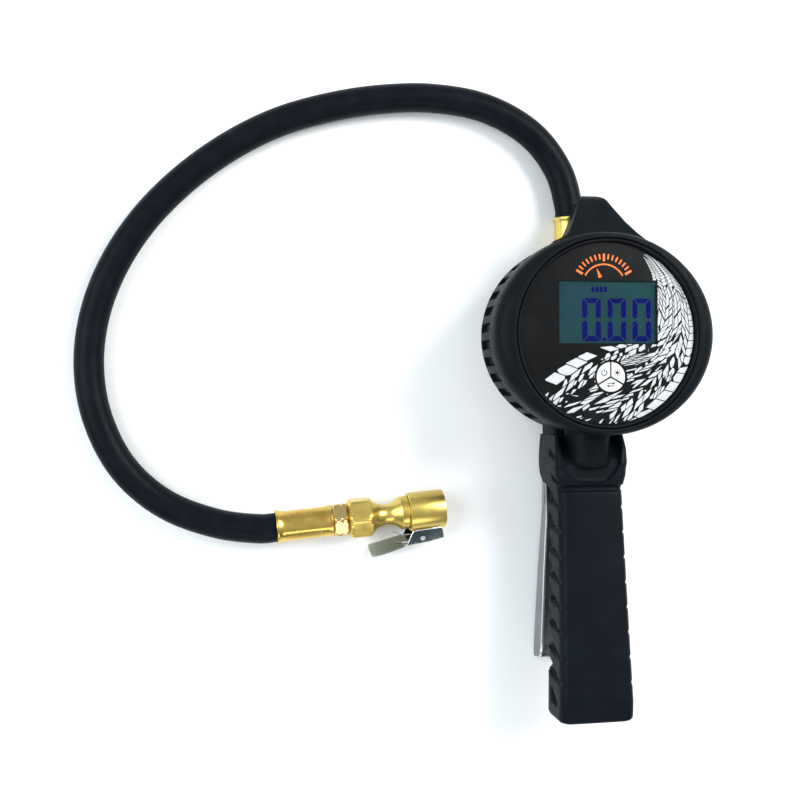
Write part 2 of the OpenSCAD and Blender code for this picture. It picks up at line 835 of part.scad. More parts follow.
in_frame() valve_body();
in_frame() inlet_filter();
in_frame() handle_sleeve();
in_frame() valve_seat();
in_frame() stem_oring();
in_frame() valve_plunger();
in_frame() valve_spring();
in_frame() valve_cap();
in_frame() trigger_lever();
in_frame() trigger_pin();
in_frame() pin_rings();
in_frame() gauge_stem();
in_frame() stem_seal();
in_frame() gauge_case();
in_frame() boot();
in_frame() gauge_bezel();
in_frame() front_plate();
in_frame() face_overlay();
in_frame() display_window();
in_frame() display_module();
in_frame() display_strips();
in_frame() circuit_board();
in_frame() board_screws();
in_frame() key_switches();
in_frame() power_key();
in_frame() light_key();
in_frame() unit_key();
in_frame() pressure_sensor();
in_frame() battery_tray();
in_frame() batteries();
in_frame() battery_contacts();
in_frame() battery_cover();
in_frame() cover_screws();
in_frame() hose_union();
in_frame() gun_ferrule();
in_frame() gun_barb();
in_frame() hose();
in_frame() end_ferrule();
in_frame() end_barb();
in_frame() swivel_nut();
in_frame() chuck_body();
in_frame() chuck_head();
in_frame() chuck_seal();
in_frame() valve_depressor();
in_frame() clip_lever();
in_frame() clip_pin();
in_frame() clip_spring();
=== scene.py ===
"""Looks of the tyre inflator: camera, light, hose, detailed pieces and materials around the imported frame.

Lengths are millimetres measured from the gauge's centre on the floor, as in the design, and Piece.build
turns them into metres in the row's frame.
"""

import math
import random

import bmesh
import bpy
from mathutils import Matrix, Vector


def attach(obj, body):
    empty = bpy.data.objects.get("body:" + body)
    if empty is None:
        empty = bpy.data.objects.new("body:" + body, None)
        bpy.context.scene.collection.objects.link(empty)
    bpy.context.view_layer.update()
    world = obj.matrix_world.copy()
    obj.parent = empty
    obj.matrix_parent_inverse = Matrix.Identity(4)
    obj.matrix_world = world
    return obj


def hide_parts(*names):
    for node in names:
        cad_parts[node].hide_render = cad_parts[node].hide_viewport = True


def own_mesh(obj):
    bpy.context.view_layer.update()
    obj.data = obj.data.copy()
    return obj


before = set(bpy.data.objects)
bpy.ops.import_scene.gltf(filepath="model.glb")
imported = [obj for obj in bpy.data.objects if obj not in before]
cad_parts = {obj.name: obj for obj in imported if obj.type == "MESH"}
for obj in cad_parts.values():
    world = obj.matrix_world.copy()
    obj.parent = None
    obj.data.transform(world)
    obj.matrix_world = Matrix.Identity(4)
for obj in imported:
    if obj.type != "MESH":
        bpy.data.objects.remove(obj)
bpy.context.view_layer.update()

MM = 0.001
HEAD_Y = 57.0

# ---- sizes shared with the design ----
HOSE_D = 14.0
HOSE_Z = 9.5
PIVOT = (-56.0, 17.0)
LEVER_SLOPE = math.radians(7.55)
LEVER_TIP = (-159.0, 0.25)
CHUCK_AT = Vector((-147.0, -89.6, 12.2))
CHUCK_TURN = math.radians(5.0)
CLIP_ROLL = math.radians(18.0)
CLIP_X = 69.6
CLIP_D = 11.6
CLIP_HALF = 6.2
GRIP_TOP = Vector((0.0, -70.0, 29.8))
GRIP_LEAN = math.radians(3.5)
CORE_END = 109.0
PLUNGER_Y = -72.0
ROUTE = [
    (0, 56.5, 9.5), (0, 66, 9.2), (-5, 85, 7.6), (-19, 102.6, 7.2), (-42, 114.5, 7.2),
    (-68, 118.4, 7.2), (-94, 117, 7.2), (-120, 112, 7.2), (-145, 103.8, 7.2), (-168, 91.4, 7.2),
    (-189, 75.5, 7.2), (-207, 56.8, 7.2), (-221, 35.5, 7.2), (-230, 12.5, 7.2), (-233.2, -12, 7.2),
    (-229.5, -37, 7.2), (-218, -60.5, 7.2), (-199.5, -77.5, 7.6), (-176, -87.2, 9.6),
    (-154.5, -90.3, 11.9), (-143.02, -89.25, 12.2),
]


# ---- frames ----
def in_head(p):
    return Vector(p)


def in_chuck(p):
    roll = Matrix.Rotation(CLIP_ROLL, 3, "X")
    turn = Matrix.Rotation(CHUCK_TURN, 3, "Z")
    return CHUCK_AT + turn @ (roll @ Vector(p))


def in_grip(p):
    return GRIP_TOP + Matrix.Rotation(-GRIP_LEAN, 3, "X") @ Vector(p)


def in_lever(p):
    rise = (-LEVER_TIP[0] + PIVOT[0]) * math.tan(LEVER_SLOPE)
    start = Vector((0.0, PIVOT[0], LEVER_TIP[1] + rise))
    return start + Matrix.Rotation(LEVER_SLOPE, 3, "X") @ Vector(p)


def grip_axis(p):
    """Lay a piece made about X along the grip."""
    return in_grip((p[2], p[0], p[1]))


def along_y(y, z):
    """Lay a piece made about X along Y, moved by y and z."""
    return lambda p: Vector((p[2], p[0] + y, p[1] + z))


def upright(x=0.0, y=0.0, z=0.0):
    """Stand a piece made about X up along Z, moved by x, y and z."""
    return lambda p: Vector((p[1] + x, p[2] + y, p[0] + z))


def to_row(p):
    return Vector((p[0] * MM, (p[1] + HEAD_Y) * MM, p[2] * MM))


# ---- shape helpers ----
def ease(low, high, x):
    t = min(max((x - low) / (high - low), 0.0), 1.0)
    return t * t * (3.0 - 2.0 * t)


def keyed(keys, x):
    """Value at x between given (place, value) pairs in rising order, on straight stretches."""
    if x <= keys[0][0]:
        return keys[0][1]
    for (x0, v0), (x1, v1) in zip(keys, keys[1:]):
        if x <= x1:
            return v0 + (v1 - v0) * (x - x0) / (x1 - x0)
    return keys[-1][1]


def fillet(points, radii, steps=5, closed=True):
    """Round an outline's corners. Every corner gives the same number of points, so outlines can be lofted."""
    count = len(points)
    out = []
    for i, corner in enumerate(points):
        p = Vector(corner)
        radius = radii if isinstance(radii, (int, float)) else radii[i]
        if not closed and i in (0, count - 1):
            out.append(p)
            continue
        before = Vector(points[i - 1]) - p
        after = Vector(points[(i + 1) % count]) - p
        reach = min(radius, 0.48 * before.length, 0.48 * after.length)
        start = p + before.normalized() * reach if before.length > 1e-6 else p
        end = p + after.normalized() * reach if after.length > 1e-6 else p
        for k in range(steps + 1):
            t = k / steps
            out.append(start * (1 - t) ** 2 + p * (2 * t * (1 - t)) + end * t ** 2)
    return out


def arc(cx, cy, r, start, end, steps):
    """Points on a circle, angles in degrees."""
    turn = [math.radians(start + (end - start) * k / steps) for k in range(steps + 1)]
    return [(cx + r * math.cos(a), cy + r * math.sin(a)) for a in turn]


class Piece:
    """A mesh put together from closed shells, in millimetres."""

    def __init__(self):
        self.verts = []
        self.faces = []

    def add(self, verts, faces):
        base = len(self.verts)
        self.verts.extend(Vector(v) for v in verts)
        self.faces.extend(tuple(base + i for i in f) for f in faces)
        return self

    def loft(self, rings, cap_start=True, cap_end=True, closed_rings=False):
        n = len(rings[0])
        verts = [v for ring in rings for v in ring]
        faces = []
        last = len(rings) if closed_rings else len(rings) - 1
        for i in range(last):
            j = (i + 1) % len(rings)
            for k in range(n):
                m = (k + 1) % n
                faces.append((i * n + k, i * n + m, j * n + m, j * n + k))
        if cap_start and not closed_rings:
            faces.append(tuple(range(n - 1, -1, -1)))
        if cap_end and not closed_rings:
            faces.append(tuple((len(rings) - 1) * n + k for k in range(n)))
        return self.add(verts, faces)

    def turned(self, profile, segments=64, limit=None, closed=False):
        """Turn (along, radius) points about the local X axis. limit(angle, along) can cut the radius."""
        rings = []
        for along, radius in profile:
            ring = []
            for k in range(segments):
                a = 2 * math.pi * k / segments
                r = radius if limit is None else min(radius, limit(a, along))
                ring.append((along, r * math.cos(a), r * math.sin(a)))
            rings.append(ring)
        return self.loft(rings, closed_rings=closed)

    def plate(self, outline, z0, z1, edge=0.0):
        """A flat outline in XY made into a plate, its edges chamfered by edge."""
        flat = [Vector((p[0], p[1])) for p in outline]
        inner = inset(flat, edge) if edge else flat
        rings = [[(p.x, p.y, z0) for p in inner]]
        if edge:
            rings.append([(p.x, p.y, z0 + edge) for p in flat])
            rings.append([(p.x, p.y, z1 - edge) for p in flat])
        rings.append([(p.x, p.y, z1) for p in inner])
        return self.loft(rings)

    def mapped(self, change):
        self.verts = [Vector(change(v)) for v in self.verts]
        return self

    def shape(self, name, place):
        mesh = bpy.data.meshes.new(name)
        mesh.from_pydata([to_row(place(v)) for v in self.verts], [], self.faces)
        clean(mesh)
        obj = bpy.data.objects.new(name, mesh)
        bpy.context.scene.collection.objects.link(obj)
        return obj

    def build(self, name, material, body="gun", slot=None, replaces=(), place=in_head, sharp=38.0,
              plus=(), minus=()):
        obj = self.shape(name, place)
        for other in plus:
            combine(obj, other.shape("added", place), "UNION")
        for other in minus:
            combine(obj, other.shape("cutter", place), "DIFFERENCE")
        mesh = obj.data
        clean(mesh)
        mesh.polygons.foreach_set("use_smooth", [True] * len(mesh.polygons))
        mesh.set_sharp_from_angle(angle=math.radians(sharp))
        mesh.materials.clear()
        mesh.materials.append(MATS[material])
        finish_piece(obj, body, replaces)
        return obj


def clean(mesh):
    work = bmesh.new()
    work.from_mesh(mesh)
    bmesh.ops.remove_doubles(work, verts=work.verts, dist=1e-7)
    bmesh.ops.dissolve_degenerate(work, edges=work.edges, dist=1e-7)
    bmesh.ops.recalc_face_normals(work, faces=work.faces)
    work.to_mesh(mesh)
    work.free()


def combine(obj, other, operation):
    """Boolean of two meshes. The result is the first object's new mesh."""
    join = obj.modifiers.new("join", "BOOLEAN")
    join.operation = operation
    join.solver = "EXACT"
    join.object = other
    bpy.context.view_layer.update()
    depsgraph = bpy.context.evaluated_depsgraph_get()
    result = bpy.data.meshes.new_from_object(obj.evaluated_get(depsgraph))
    obj.modifiers.clear()
    obj.data = result
    bpy.data.objects.remove(other)


def finish_piece(obj, body, replaces):
    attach(obj, body)
    if replaces:
        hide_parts(*replaces)


def inset(flat, amount):
    """Move a closed outline's points inwards along their corner normals."""
    area = sum(a.x * b.y - b.x * a.y for a, b in zip(flat, flat[1:] + flat[:1]))
    turn = 1.0 if area > 0 else -1.0
    out = []
    for i, p in enumerate(flat):
        a = (p - flat[i - 1]).normalized()
        b = (flat[(i + 1) % len(flat)] - p).normalized()
        normal = Vector((-(a.y + b.y), a.x + b.x)) * turn
        out.append(p + (normal.normalized() * amount if normal.length > 1e-9 else Vector((0, 0))))
    return out


def rounded_box(piece, x0, x1, y0, y1, z0, z1, r, steps=4):
    """A box with all its edges rounded, as a loft of rounded outlines."""
    rings = []
    for k in range(steps + 1):
        a = math.pi / 2 * k / steps
        rings.append((r * (1 - math.sin(a)), z0 + r * (1 - math.cos(a))))
    for k in range(steps + 1):
        a = math.pi / 2 * (1 - k / steps)
        rings.append((r * (1 - math.sin(a)), z1 - r * (1 - math.cos(a))))
    made = []
    for shrink, z in rings:
        left, right, low, high = x0 + shrink, x1 - shrink, y0 + shrink, y1 - shrink
        box = [(left, low), (right, low), (right, high), (left, high)]
        made.append([(p.x, p.y, z) for p in fillet(box, r * 1.3, 4)])
    return piece.loft(made)


def wire_ring(middle, wire, a, b, sides=8):
    """One ring of round wire, in the plane of the directions a and b."""
    turns = [2 * math.pi * k / sides for k in range(sides)]
    return [middle + wire * (math.cos(t) * a + math.sin(t) * b) for t in turns]


def coil(piece, radius, wire, start, end, turns, steps=20, sides=8, ends=0.0):
    """A helix of round wire about the local X axis, closer wound at its ends."""
    rings = []
    count = int(turns * steps)
    for i in range(count + 1):
        t = i / count
        s = t if not ends else t - ends * math.sin(2 * math.pi * t) / (2 * math.pi)
        a = 2 * math.pi * turns * t
        middle = Vector((start + (end - start) * s, radius * math.cos(a), radius * math.sin(a)))
        out = Vector((0.0, math.cos(a), math.sin(a)))
        axis = Vector((1.0, 0.0, 0.0))
        rings.append(wire_ring(middle, wire, out, axis, sides))
    return piece.loft(rings)


def both_sides(make):
    """The piece that make(side) gives for the left and for the right, as one."""
    piece = Piece()
    for side in (-1, 1):
        part = make(side)
        piece.add(part.verts, part.faces)
    return piece


def wire_path(piece, points, wire, sides=8):
    """Round wire along a list of points."""
    pts = [Vector(p) for p in points]
    rings = []
    for i, p in enumerate(pts):
        t = (pts[min(i + 1, len(pts) - 1)] - pts[max(i - 1, 0)]).normalized()
        side = t.cross(Vector((0.0, 0.0, 1.0)))
        if side.length < 0.1:
            side = t.cross(Vector((0.0, 1.0, 0.0)))
        side.normalize()
        up = side.cross(t)
        rings.append(wire_ring(p, wire, side, up, sides))
    return piece.loft(rings)


# ---- materials ----
def map_range(tree, source, low, high, to_low, to_high):
    made = tree.nodes.new("ShaderNodeMapRange")
    names = ("From Min", "From Max", "To Min", "To Max")
    for name, value in zip(names, (low, high, to_low, to_high)):
        made.inputs[name].default_value = value
    tree.links.new(source, made.inputs["Value"])
    return made.outputs["Result"]


class Surface:
    """A Principled material with its colour, roughness and relief driven by textures in object space."""

    def __init__(self, name, colour, rough=0.5, metal=0.0, coat=0.0, coat_rough=0.1, sheen=0.0, ior=1.45,
                 transmission=0.0, shine=0.5):
        self.mat = bpy.data.materials.new(name)
        self.mat.use_nodes = True
        self.tree = self.mat.node_tree
        self.bsdf = self.tree.nodes["Principled BSDF"]
        self.colour = colour
        settings = {
            "Base Color": (*colour, 1.0), "Roughness": rough, "Metallic": metal, "Coat Weight": coat,
            "Coat Roughness": coat_rough, "Sheen Weight": sheen, "IOR": ior, "Specular IOR Level": shine,
            "Transmission Weight": transmission,
        }
        for key, value in settings.items():
            self.bsdf.inputs[key].default_value = value
        self.coords = self.node("ShaderNodeTexCoord").outputs["Object"]

    def node(self, kind, **settings):
        made = self.tree.nodes.new(kind)
        for key, value in settings.items():
            setattr(made, key, value)
        return made

    def link(self, a, b):
        self.tree.links.new(a, b)

    def turned_coords(self, turn=(0.0, 0.0, 0.0), stretch=(1.0, 1.0, 1.0)):
        mapping = self.node("ShaderNodeMapping")
        mapping.inputs["Rotation"].default_value = turn
        mapping.inputs["Scale"].default_value = stretch
        self.link(self.coords, mapping.inputs["Vector"])
        return mapping.outputs["Vector"]

    def noise(self, size, detail=3.0, roughness=0.5, coords=None):
        """Noise whose features are about size millimetres across."""
        tex = self.node("ShaderNodeTexNoise")
        tex.inputs["Scale"].default_value = 1.0 / (size * MM)
        tex.inputs["Detail"].default_value = detail
        tex.inputs["Roughness"].default_value = roughness
        self.link(coords or self.coords, tex.inputs["Vector"])
        return tex.outputs["Fac"]

    def cells(self, size, feature="F1"):
        tex = self.node("ShaderNodeTexVoronoi", feature=feature)
        tex.inputs["Scale"].default_value = 1.0 / (size * MM)
        self.link(self.coords, tex.inputs["Vector"])
        return tex.outputs["Distance"]

    def bands(self, size, coords=None, distortion=0.0, profile="SIN"):
        tex = self.node("ShaderNodeTexWave", wave_type="BANDS", bands_direction="X", wave_profile=profile)
        tex.inputs["Scale"].default_value = 0.314 / (size * MM)
        tex.inputs["Distortion"].default_value = distortion
        self.link(coords or self.coords, tex.inputs["Vector"])
        return tex.outputs["Fac"]

    def ramp(self, source, low, high, to_low=0.0, to_high=1.0):
        return map_range(self.tree, source, low, high, to_low, to_high)

    def tint(self, source, other, low=0.35, high=0.65):
        """Mix the base colour with another where the source is high."""
        mix = self.node("ShaderNodeMix", data_type="RGBA")
        base = self.bsdf.inputs["Base Color"]
        if base.is_linked:
            self.link(base.links[0].from_socket, mix.inputs["A"])
        else:
            mix.inputs["A"].default_value = (*self.colour, 1.0)
        mix.inputs["B"].default_value = (*other, 1.0)
        self.link(self.ramp(source, low, high), mix.inputs["Factor"])
        self.link(mix.outputs["Result"], base)
        return self

    def worn(self, colour, start=0.53, end=0.62):
        """Paler raised edges, from the shape's own sharpness."""
        pointed = self.node("ShaderNodeNewGeometry").outputs["Pointiness"]
        return self.tint(pointed, colour, start, end)

    def rough_from(self, source, low, high):
        self.link(self.ramp(source, 0.3, 0.7, low, high), self.bsdf.inputs["Roughness"])
        return self

    def relief(self, source, strength, depth):
        """Bump from a texture, depth in millimetres. More than one can be stacked."""
        bump = self.node("ShaderNodeBump")
        bump.inputs["Strength"].default_value = strength
        bump.inputs["Distance"].default_value = depth * MM
        self.link(source, bump.inputs["Height"])
        normal = self.bsdf.inputs["Normal"]
        if normal.is_linked:
            self.link(normal.links[0].from_socket, bump.inputs["Normal"])
        self.link(bump.outputs["Normal"], normal)
        return self


BLACK_SHINE = 0.06


def rubber(name, colour, rough, pale, grain=0.35, strength=0.35):
    s = Surface(name, colour, rough, shine=BLACK_SHINE)
    s.tint(s.noise(9.0, 4.0), pale, 0.45, 0.8)
    s.worn([c * 2.2 + 0.004 for c in colour])
    s.rough_from(s.noise(3.0, 5.0), rough - 0.05, rough + 0.07)
    s.relief(s.noise(grain, 3.0), strength, 0.03)
    s.relief(s.noise(6.0, 2.0), 0.25, 0.12)
    return s.mat


def metal(name, colour, other, rough, axis=(0.0, 0.0, 0.0), lines=0.35, line_strength=0.12, patch=5.0):
    s = Surface(name, colour, rough, metal=1.0)
    along = s.turned_coords(axis)
    s.tint(s.noise(patch, 3.0), other, 0.45, 0.8)
    s.rough_from(s.noise(4.0, 3.0), rough - 0.03, rough + 0.05)
    if lines:
        s.relief(s.bands(lines, along, 1.5), line_strength, 0.02)
    s.relief(s.noise(0.5, 4.0), 0.03, 0.01)
    return s.mat


def moulded(name, colour, pale, rough=0.42, grain=0.25, strength=0.3, coat=0.0):
    s = Surface(name, colour, rough, coat=coat, coat_rough=0.15, shine=BLACK_SHINE)
    s.tint(s.noise(14.0, 3.0), pale, 0.45, 0.8)
    s.rough_from(s.noise(2.5, 4.0), rough - 0.06, rough + 0.06)
    s.relief(s.cells(grain), strength, 0.02)
    return s.mat


def printed(name, colour, other, rough=0.35, coat=0.35, shine=0.5):
    s = Surface(name, colour, rough, coat=coat, coat_rough=0.12, shine=shine)
    s.tint(s.noise(1.2, 5.0, 0.7), other, 0.5, 0.75)
    s.relief(s.noise(0.3, 2.0), 0.15, 0.01)
    return s.mat


def gloss_face():
    s = Surface("face_gloss", (0.0035, 0.004, 0.0045), 0.3, shine=0.12)
    s.tint(s.noise(20.0, 3.0), (0.008, 0.009, 0.01), 0.45, 0.8)
    s.rough_from(s.noise(0.6, 6.0, 0.7), 0.24, 0.36)
    s.relief(s.noise(12.0, 2.0), 0.1, 0.05)
    return s.mat


def display_glow():
    s = Surface("display_grey", (0.010, 0.042, 0.044), 0.4, shine=0.1)
    s.tint(s.noise(26.0, 2.0), (0.014, 0.036, 0.066), 0.45, 0.8)
    s.relief(s.noise(0.15, 1.0), 0.1, 0.005)
    return s.mat


def clear_window():
    s = Surface("window_clear", (0.9, 0.97, 0.98), 0.06, transmission=1.0, ior=1.06, shine=0.3)
    s.rough_from(s.noise(4.0, 4.0), 0.03, 0.09)
    s.relief(s.noise(9.0, 2.0), 0.05, 0.02)
    return s.mat


def board_material():
    s = Surface("board_green", (0.02, 0.13, 0.06), 0.4, coat=0.4)
    s.tint(s.bands(1.6, distortion=6.0), (0.04, 0.2, 0.09), 0.6, 0.7)
    s.tint(s.cells(1.3), (0.5, 0.36, 0.12), 0.86, 0.9)
    s.relief(s.bands(1.6, distortion=6.0), 0.3, 0.03)
    return s.mat


def brass_set(name, turn):
    return metal(name, (0.68, 0.51, 0.13), (0.60, 0.44, 0.105), 0.3, turn, lines=0.3, line_strength=0.03)


CHUCK_LINES = (0.0, 0.0, -CHUCK_TURN)
MATS = {
    "boot": rubber("boot_rubber", (0.0042, 0.0062, 0.0080), 0.42, (0.0068, 0.0092, 0.0115)),
    "hose": rubber("hose_rubber", (0.004, 0.0055, 0.008), 0.38, (0.0065, 0.009, 0.013), 0.5, 0.25),
    "seal": rubber("seal_rubber", (0.006, 0.006, 0.006), 0.55, (0.012, 0.012, 0.012)),
    "grip": moulded("grip_black", (0.004, 0.006, 0.0085), (0.006, 0.0085, 0.0125), 0.40, 0.3, 0.18),
    "case": moulded("case_black", (0.006, 0.0065, 0.0075), (0.012, 0.012, 0.013), 0.4, 0.3, 0.25),
    "casting": moulded("casting_black", (0.004, 0.005, 0.007), (0.007, 0.008, 0.011), 0.42, 0.8, 0.3),
    "chrome": metal("chrome_plate", (0.30, 0.33, 0.335), (0.22, 0.25, 0.255), 0.12, lines=0, patch=18.0),
    # A much paler copy of chrome_plate: painted highlight for the bright lines along rolled edges.
    "chrome_painted_highlight": metal("chrome_rim_painted_highlight", (0.88, 0.9, 0.91), (0.8, 0.82, 0.84), 0.12, lines=0, patch=18.0),
    "steel": metal("steel_turned", (0.6, 0.61, 0.63), (0.5, 0.51, 0.53), 0.28, (0, 0, math.pi / 2)),
    "spring": metal("spring_wire", (0.42, 0.43, 0.45), (0.3, 0.31, 0.33), 0.3, lines=0),
    "brass_gun": brass_set("brass_gun", (0.0, 0.0, math.pi / 2)),
    "brass_chuck": brass_set("brass_chuck", CHUCK_LINES),
    "brass_crimp": metal("brass_crimp", (0.62, 0.43, 0.10), (0.54, 0.36, 0.08), 0.26, CHUCK_LINES,
                         line_strength=0.02),
    "clip": metal("clip_plate", (0.42, 0.46, 0.38), (0.34, 0.37, 0.32), 0.2, lines=0, patch=9.0),
    # The clip's side walls in a much darker copy of its metal: painted shade standing in for the dark
    # reflection they catch.
    "clip_side_painted_shade": metal("clip_sides_painted_shade", (0.045, 0.06, 0.065), (0.075, 0.09, 0.10), 0.14, lines=0, patch=4.0),
    "satin": metal("lever_inside", (0.30, 0.33, 0.34), (0.22, 0.25, 0.26), 0.5, lines=0, patch=9.0),
    "copper": metal("brass_pink", (0.66, 0.48, 0.20), (0.6, 0.42, 0.17), 0.24, CHUCK_LINES,
                    line_strength=0.03),
    "bronze": metal("bronze_sintered", (0.42, 0.3, 0.14), (0.3, 0.2, 0.09), 0.6, lines=0),
    "face": gloss_face(),
    "display": display_glow(),
    "window": clear_window(),
    "board": board_material(),
    "white": printed("print_white", (0.52, 0.54, 0.54), (0.36, 0.38, 0.38)),
    "key": printed("key_white", (0.62, 0.63, 0.63), (0.56, 0.57, 0.57)),
    "ink": printed("print_ink", (0.008, 0.008, 0.009), (0.015, 0.015, 0.016)),
    "orange": printed("print_orange", (0.80, 0.15, 0.008), (0.72, 0.12, 0.006)),
    "digits": printed("display_digits", (0.003, 0.004, 0.095), (0.002, 0.003, 0.075), 0.5, 0.0, 0.05),
    "cell": moulded("cell_jacket", (0.03, 0.05, 0.09), (0.045, 0.07, 0.12), 0.3, 1.0, 0.1, coat=0.4),
}

CAD_MATERIALS = {
    "valve_seat": "brass_gun", "valve_cap": "brass_gun", "gun_barb": "brass_gun",
    "end_barb": "brass_chuck", "valve_depressor": "brass_chuck", "chuck_seal": "seal", "stem_oring": "seal",
    "stem_seal": "seal", "display_strips": "seal", "valve_plunger": "steel", "trigger_pin": "steel",
    "board_screws": "steel", "pressure_sensor": "steel", "cover_screws": "steel", "clip_pin": "spring",
    "pin_rings": "spring", "battery_contacts": "spring", "gauge_case": "case", "front_plate": "case",
    "battery_tray": "case", "battery_cover": "case", "key_switches": "case", "gauge_stem": "casting",
    "face_overlay": "face", "display_module": "display", "display_window": "window",
    "circuit_board": "board", "batteries": "cell", "inlet_filter": "bronze",
    "power_key": "key", "light_key": "key", "unit_key": "key",
}


def dress_cad_nodes():
    for node, key in CAD_MATERIALS.items():
        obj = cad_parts[node]
        obj.data.materials.clear()
        obj.data.materials.append(MATS[key])


# ---- camera, floor and light ----
def make_camera():
    data = bpy.data.cameras.new("camera")
    data.sensor_width = 36.0
    data.lens = 49.5
    data.clip_start = 0.01
    cam = bpy.data.objects.new("camera", data)
    bpy.context.scene.collection.objects.link(cam)
    place = Vector((-0.1782, 0.0302, 0.5377))
    target = Vector((-0.0847, 0.0273, 0.0))
    back = (place - target).normalized()
    right = Vector((0.0, 1.0, 0.0)).cross(back).normalized()
    up = back.cross(right)
    roll = math.radians(-0.37)
    right, up = right * math.cos(roll) + up * math.sin(roll), up * math.cos(roll) - right * math.sin(roll)
    turn = Matrix((right, up, back)).transposed().to_4x4()
    cam.matrix_world = Matrix.Translation(place) @ turn
    bpy.context.scene.camera = cam


def make_floor():
    side = 3.0
    mesh = bpy.data.meshes.new("floor")
    corners = [(-side, -side, 0), (side, -side, 0), (side, side, 0), (-side, side, 0)]
    mesh.from_pydata(corners, [], [(0, 1, 2, 3)])
    s = Surface("floor_white", (0.93, 0.94, 0.94), 0.6)
    s.tint(s.noise(300.0, 2.0), (0.91, 0.92, 0.92), 0.4, 0.6)
    mesh.materials.append(s.mat)
    floor = bpy.data.objects.new("floor", mesh)
    bpy.context.scene.collection.objects.link(floor)


def area_light(name, place, target, size, power, colour=(1.0, 1.0, 1.0), shine=1.0):
    data = bpy.data.lights.new(name, "AREA")
    data.shape = "RECTANGLE"
    data.size, data.size_y = size
    data.energy = power
    data.color = colour
    data.specular_factor = shine
    obj = bpy.data.objects.new(name, data)
    bpy.context.scene.collection.objects.link(obj)
    aim = (Vector(target) - Vector(place)).to_track_quat("-Z", "Y")
    obj.matrix_world = Matrix.Translation(place) @ aim.to_matrix().to_4x4()


WORLD_RIM = 0.6
WORLD_TOP = 0.64
WORLD_DARK_SIDE = 0.15


def make_light():
    world = bpy.data.worlds.new("studio")
    world.use_nodes = True
    nodes = world.node_tree.nodes
    links = world.node_tree.links
    coords = nodes.new("ShaderNodeTexCoord")
    split = nodes.new("ShaderNodeSeparateXYZ")
    links.new(coords.outputs["Generated"], split.inputs["Vector"])
    height = map_range(world.node_tree, split.outputs["Z"], 0.25, 0.95, WORLD_RIM, WORLD_TOP)
    side = map_range(world.node_tree, split.outputs["Y"], -0.95, -0.2, WORLD_DARK_SIDE, 1.0)
    both = nodes.new("ShaderNodeMath")
    both.operation = "MULTIPLY"
    links.new(height, both.inputs[0])
    links.new(side, both.inputs[1])
    back = nodes["Background"]
    back.inputs["Color"].default_value = (0.9, 0.95, 1.0, 1.0)
    links.new(both.outputs["Value"], back.inputs["Strength"])
    bpy.context.scene.world = world
    middle = (-0.08, 0.0, 0.02)
    area_light("key_light", (0.75, 0.55, 0.95), middle, (0.7, 0.7), 19.0, (1.0, 0.99, 0.97))
    area_light("fill_light", (-0.95, 0.15, 0.75), middle, (0.8, 0.9), 11.0, (0.9, 0.96, 1.0))
    area_light("front_light", (-0.1, -1.0, 0.65), middle, (1.0, 0.5), 5.0, shine=0.35)
    bpy.context.scene.view_settings.view_transform = "Standard"


# ---- hose ----
def make_hose():
    curve = bpy.data.curves.new("hose_curve", "CURVE")
    curve.dimensions = "3D"
    curve.bevel_depth = HOSE_D / 2 * MM
    curve.bevel_resolution = 8
    curve.resolution_u = 12
    spline = curve.splines.new("BEZIER")
    spline.bezier_points.add(len(ROUTE) - 1)
    points = [to_row(p) for p in ROUTE]
    for i, (bez, p) in enumerate(zip(spline.bezier_points, points)):
        before = points[max(i - 1, 0)]
        after = points[min(i + 1, len(points) - 1)]
        along = (after - before).normalized()
        bez.co = p
        bez.handle_left_type = bez.handle_right_type = "FREE"
        bez.handle_left = p - along * (p - before).length / 3
        bez.handle_right = p + along * (after - p).length / 3
    curve.materials.append(MATS["hose"])
    hose = bpy.data.objects.new("hose_rubber_tube", curve)
    bpy.context.scene.collection.objects.link(hose)
    finish_piece(hose, "gun", ["hose"])
    length = sum((b - a).length for a, b in zip(points, points[1:]))
    return hose, points[0], length


# ---- boot ----
NOTCHES = 36
NOTCH_STEPS = (-5.0, -3.4, -2.75, -2.25, -1.1, 0.0, 1.1, 2.25, 2.75, 3.4)
NOTCH_DEPTH = 2.0
NOTCH_TOP = 44.0
NOTCH_BOTTOM = 27.0
BOOT_PROFILE = [
    (43.1, 43.1, 61.0), (43.1, 43.1, 64.8), (43.2, 43.2, 65.5), (43.6, 43.5, 65.9), (44.2, 43.9, 66.0),
    (45.4, 44.5, 65.9), (47.2, 45.1, 65.4), (49.0, 45.6, 64.5), (50.5, 46.0, 63.2), (51.6, 46.25, 61.5),
    (52.15, 46.35, 59.5), (52.3, 46.4, 57.0), (52.3, 46.4, 53.5), (52.1, 46.35, 51.6), (51.5, 46.25, 50.2),
    (50.7, 46.1, 49.2), (50.2, 45.95, 48.0), (50.0, 45.9, 46.0), (50.0, 45.9, 44.3), (50.0, 45.9, 43.9),
    (50.0, 45.9, 35.5), (49.9, 45.85, 27.3), (49.8, 45.8, 26.9), (49.3, 45.4, 24.6), (48.3, 44.6, 23.0),
    (46.8, 43.4, 22.2), (45.2, 42.2, 22.0), (37.0, 37.0, 22.0), (36.2, 36.2, 22.3), (36.0, 36.0, 23.7),
    (42.9, 42.9, 23.8), (42.9, 42.9, 60.9),
]
LUG_HALF = [(38.0, 27.0), (43.5, 23.4), (47.5, 19.5), (53.0, 15.1), (60.0, 10.5), (65.5, 7.3)]
LUG_LEFT = [(38.0, 26.0), (42.5, 23.0), (45.0, 17.4), (47.5, 14.5), (53.0, 11.3), (60.0, 8.1), (65.5, 5.8)]
LUG_LEAN = 0.16
LIP_R = 0.6
LUG_TOP = [(40.0, 57.6), (46.0, 54.2), (52.0, 50.2), (64.0, 43.6), (66.5, 41.0)]
LUG_BACK = [(40.0, 28.0), (58.0, 28.0), (63.0, 29.0), (66.5, 31.5)]


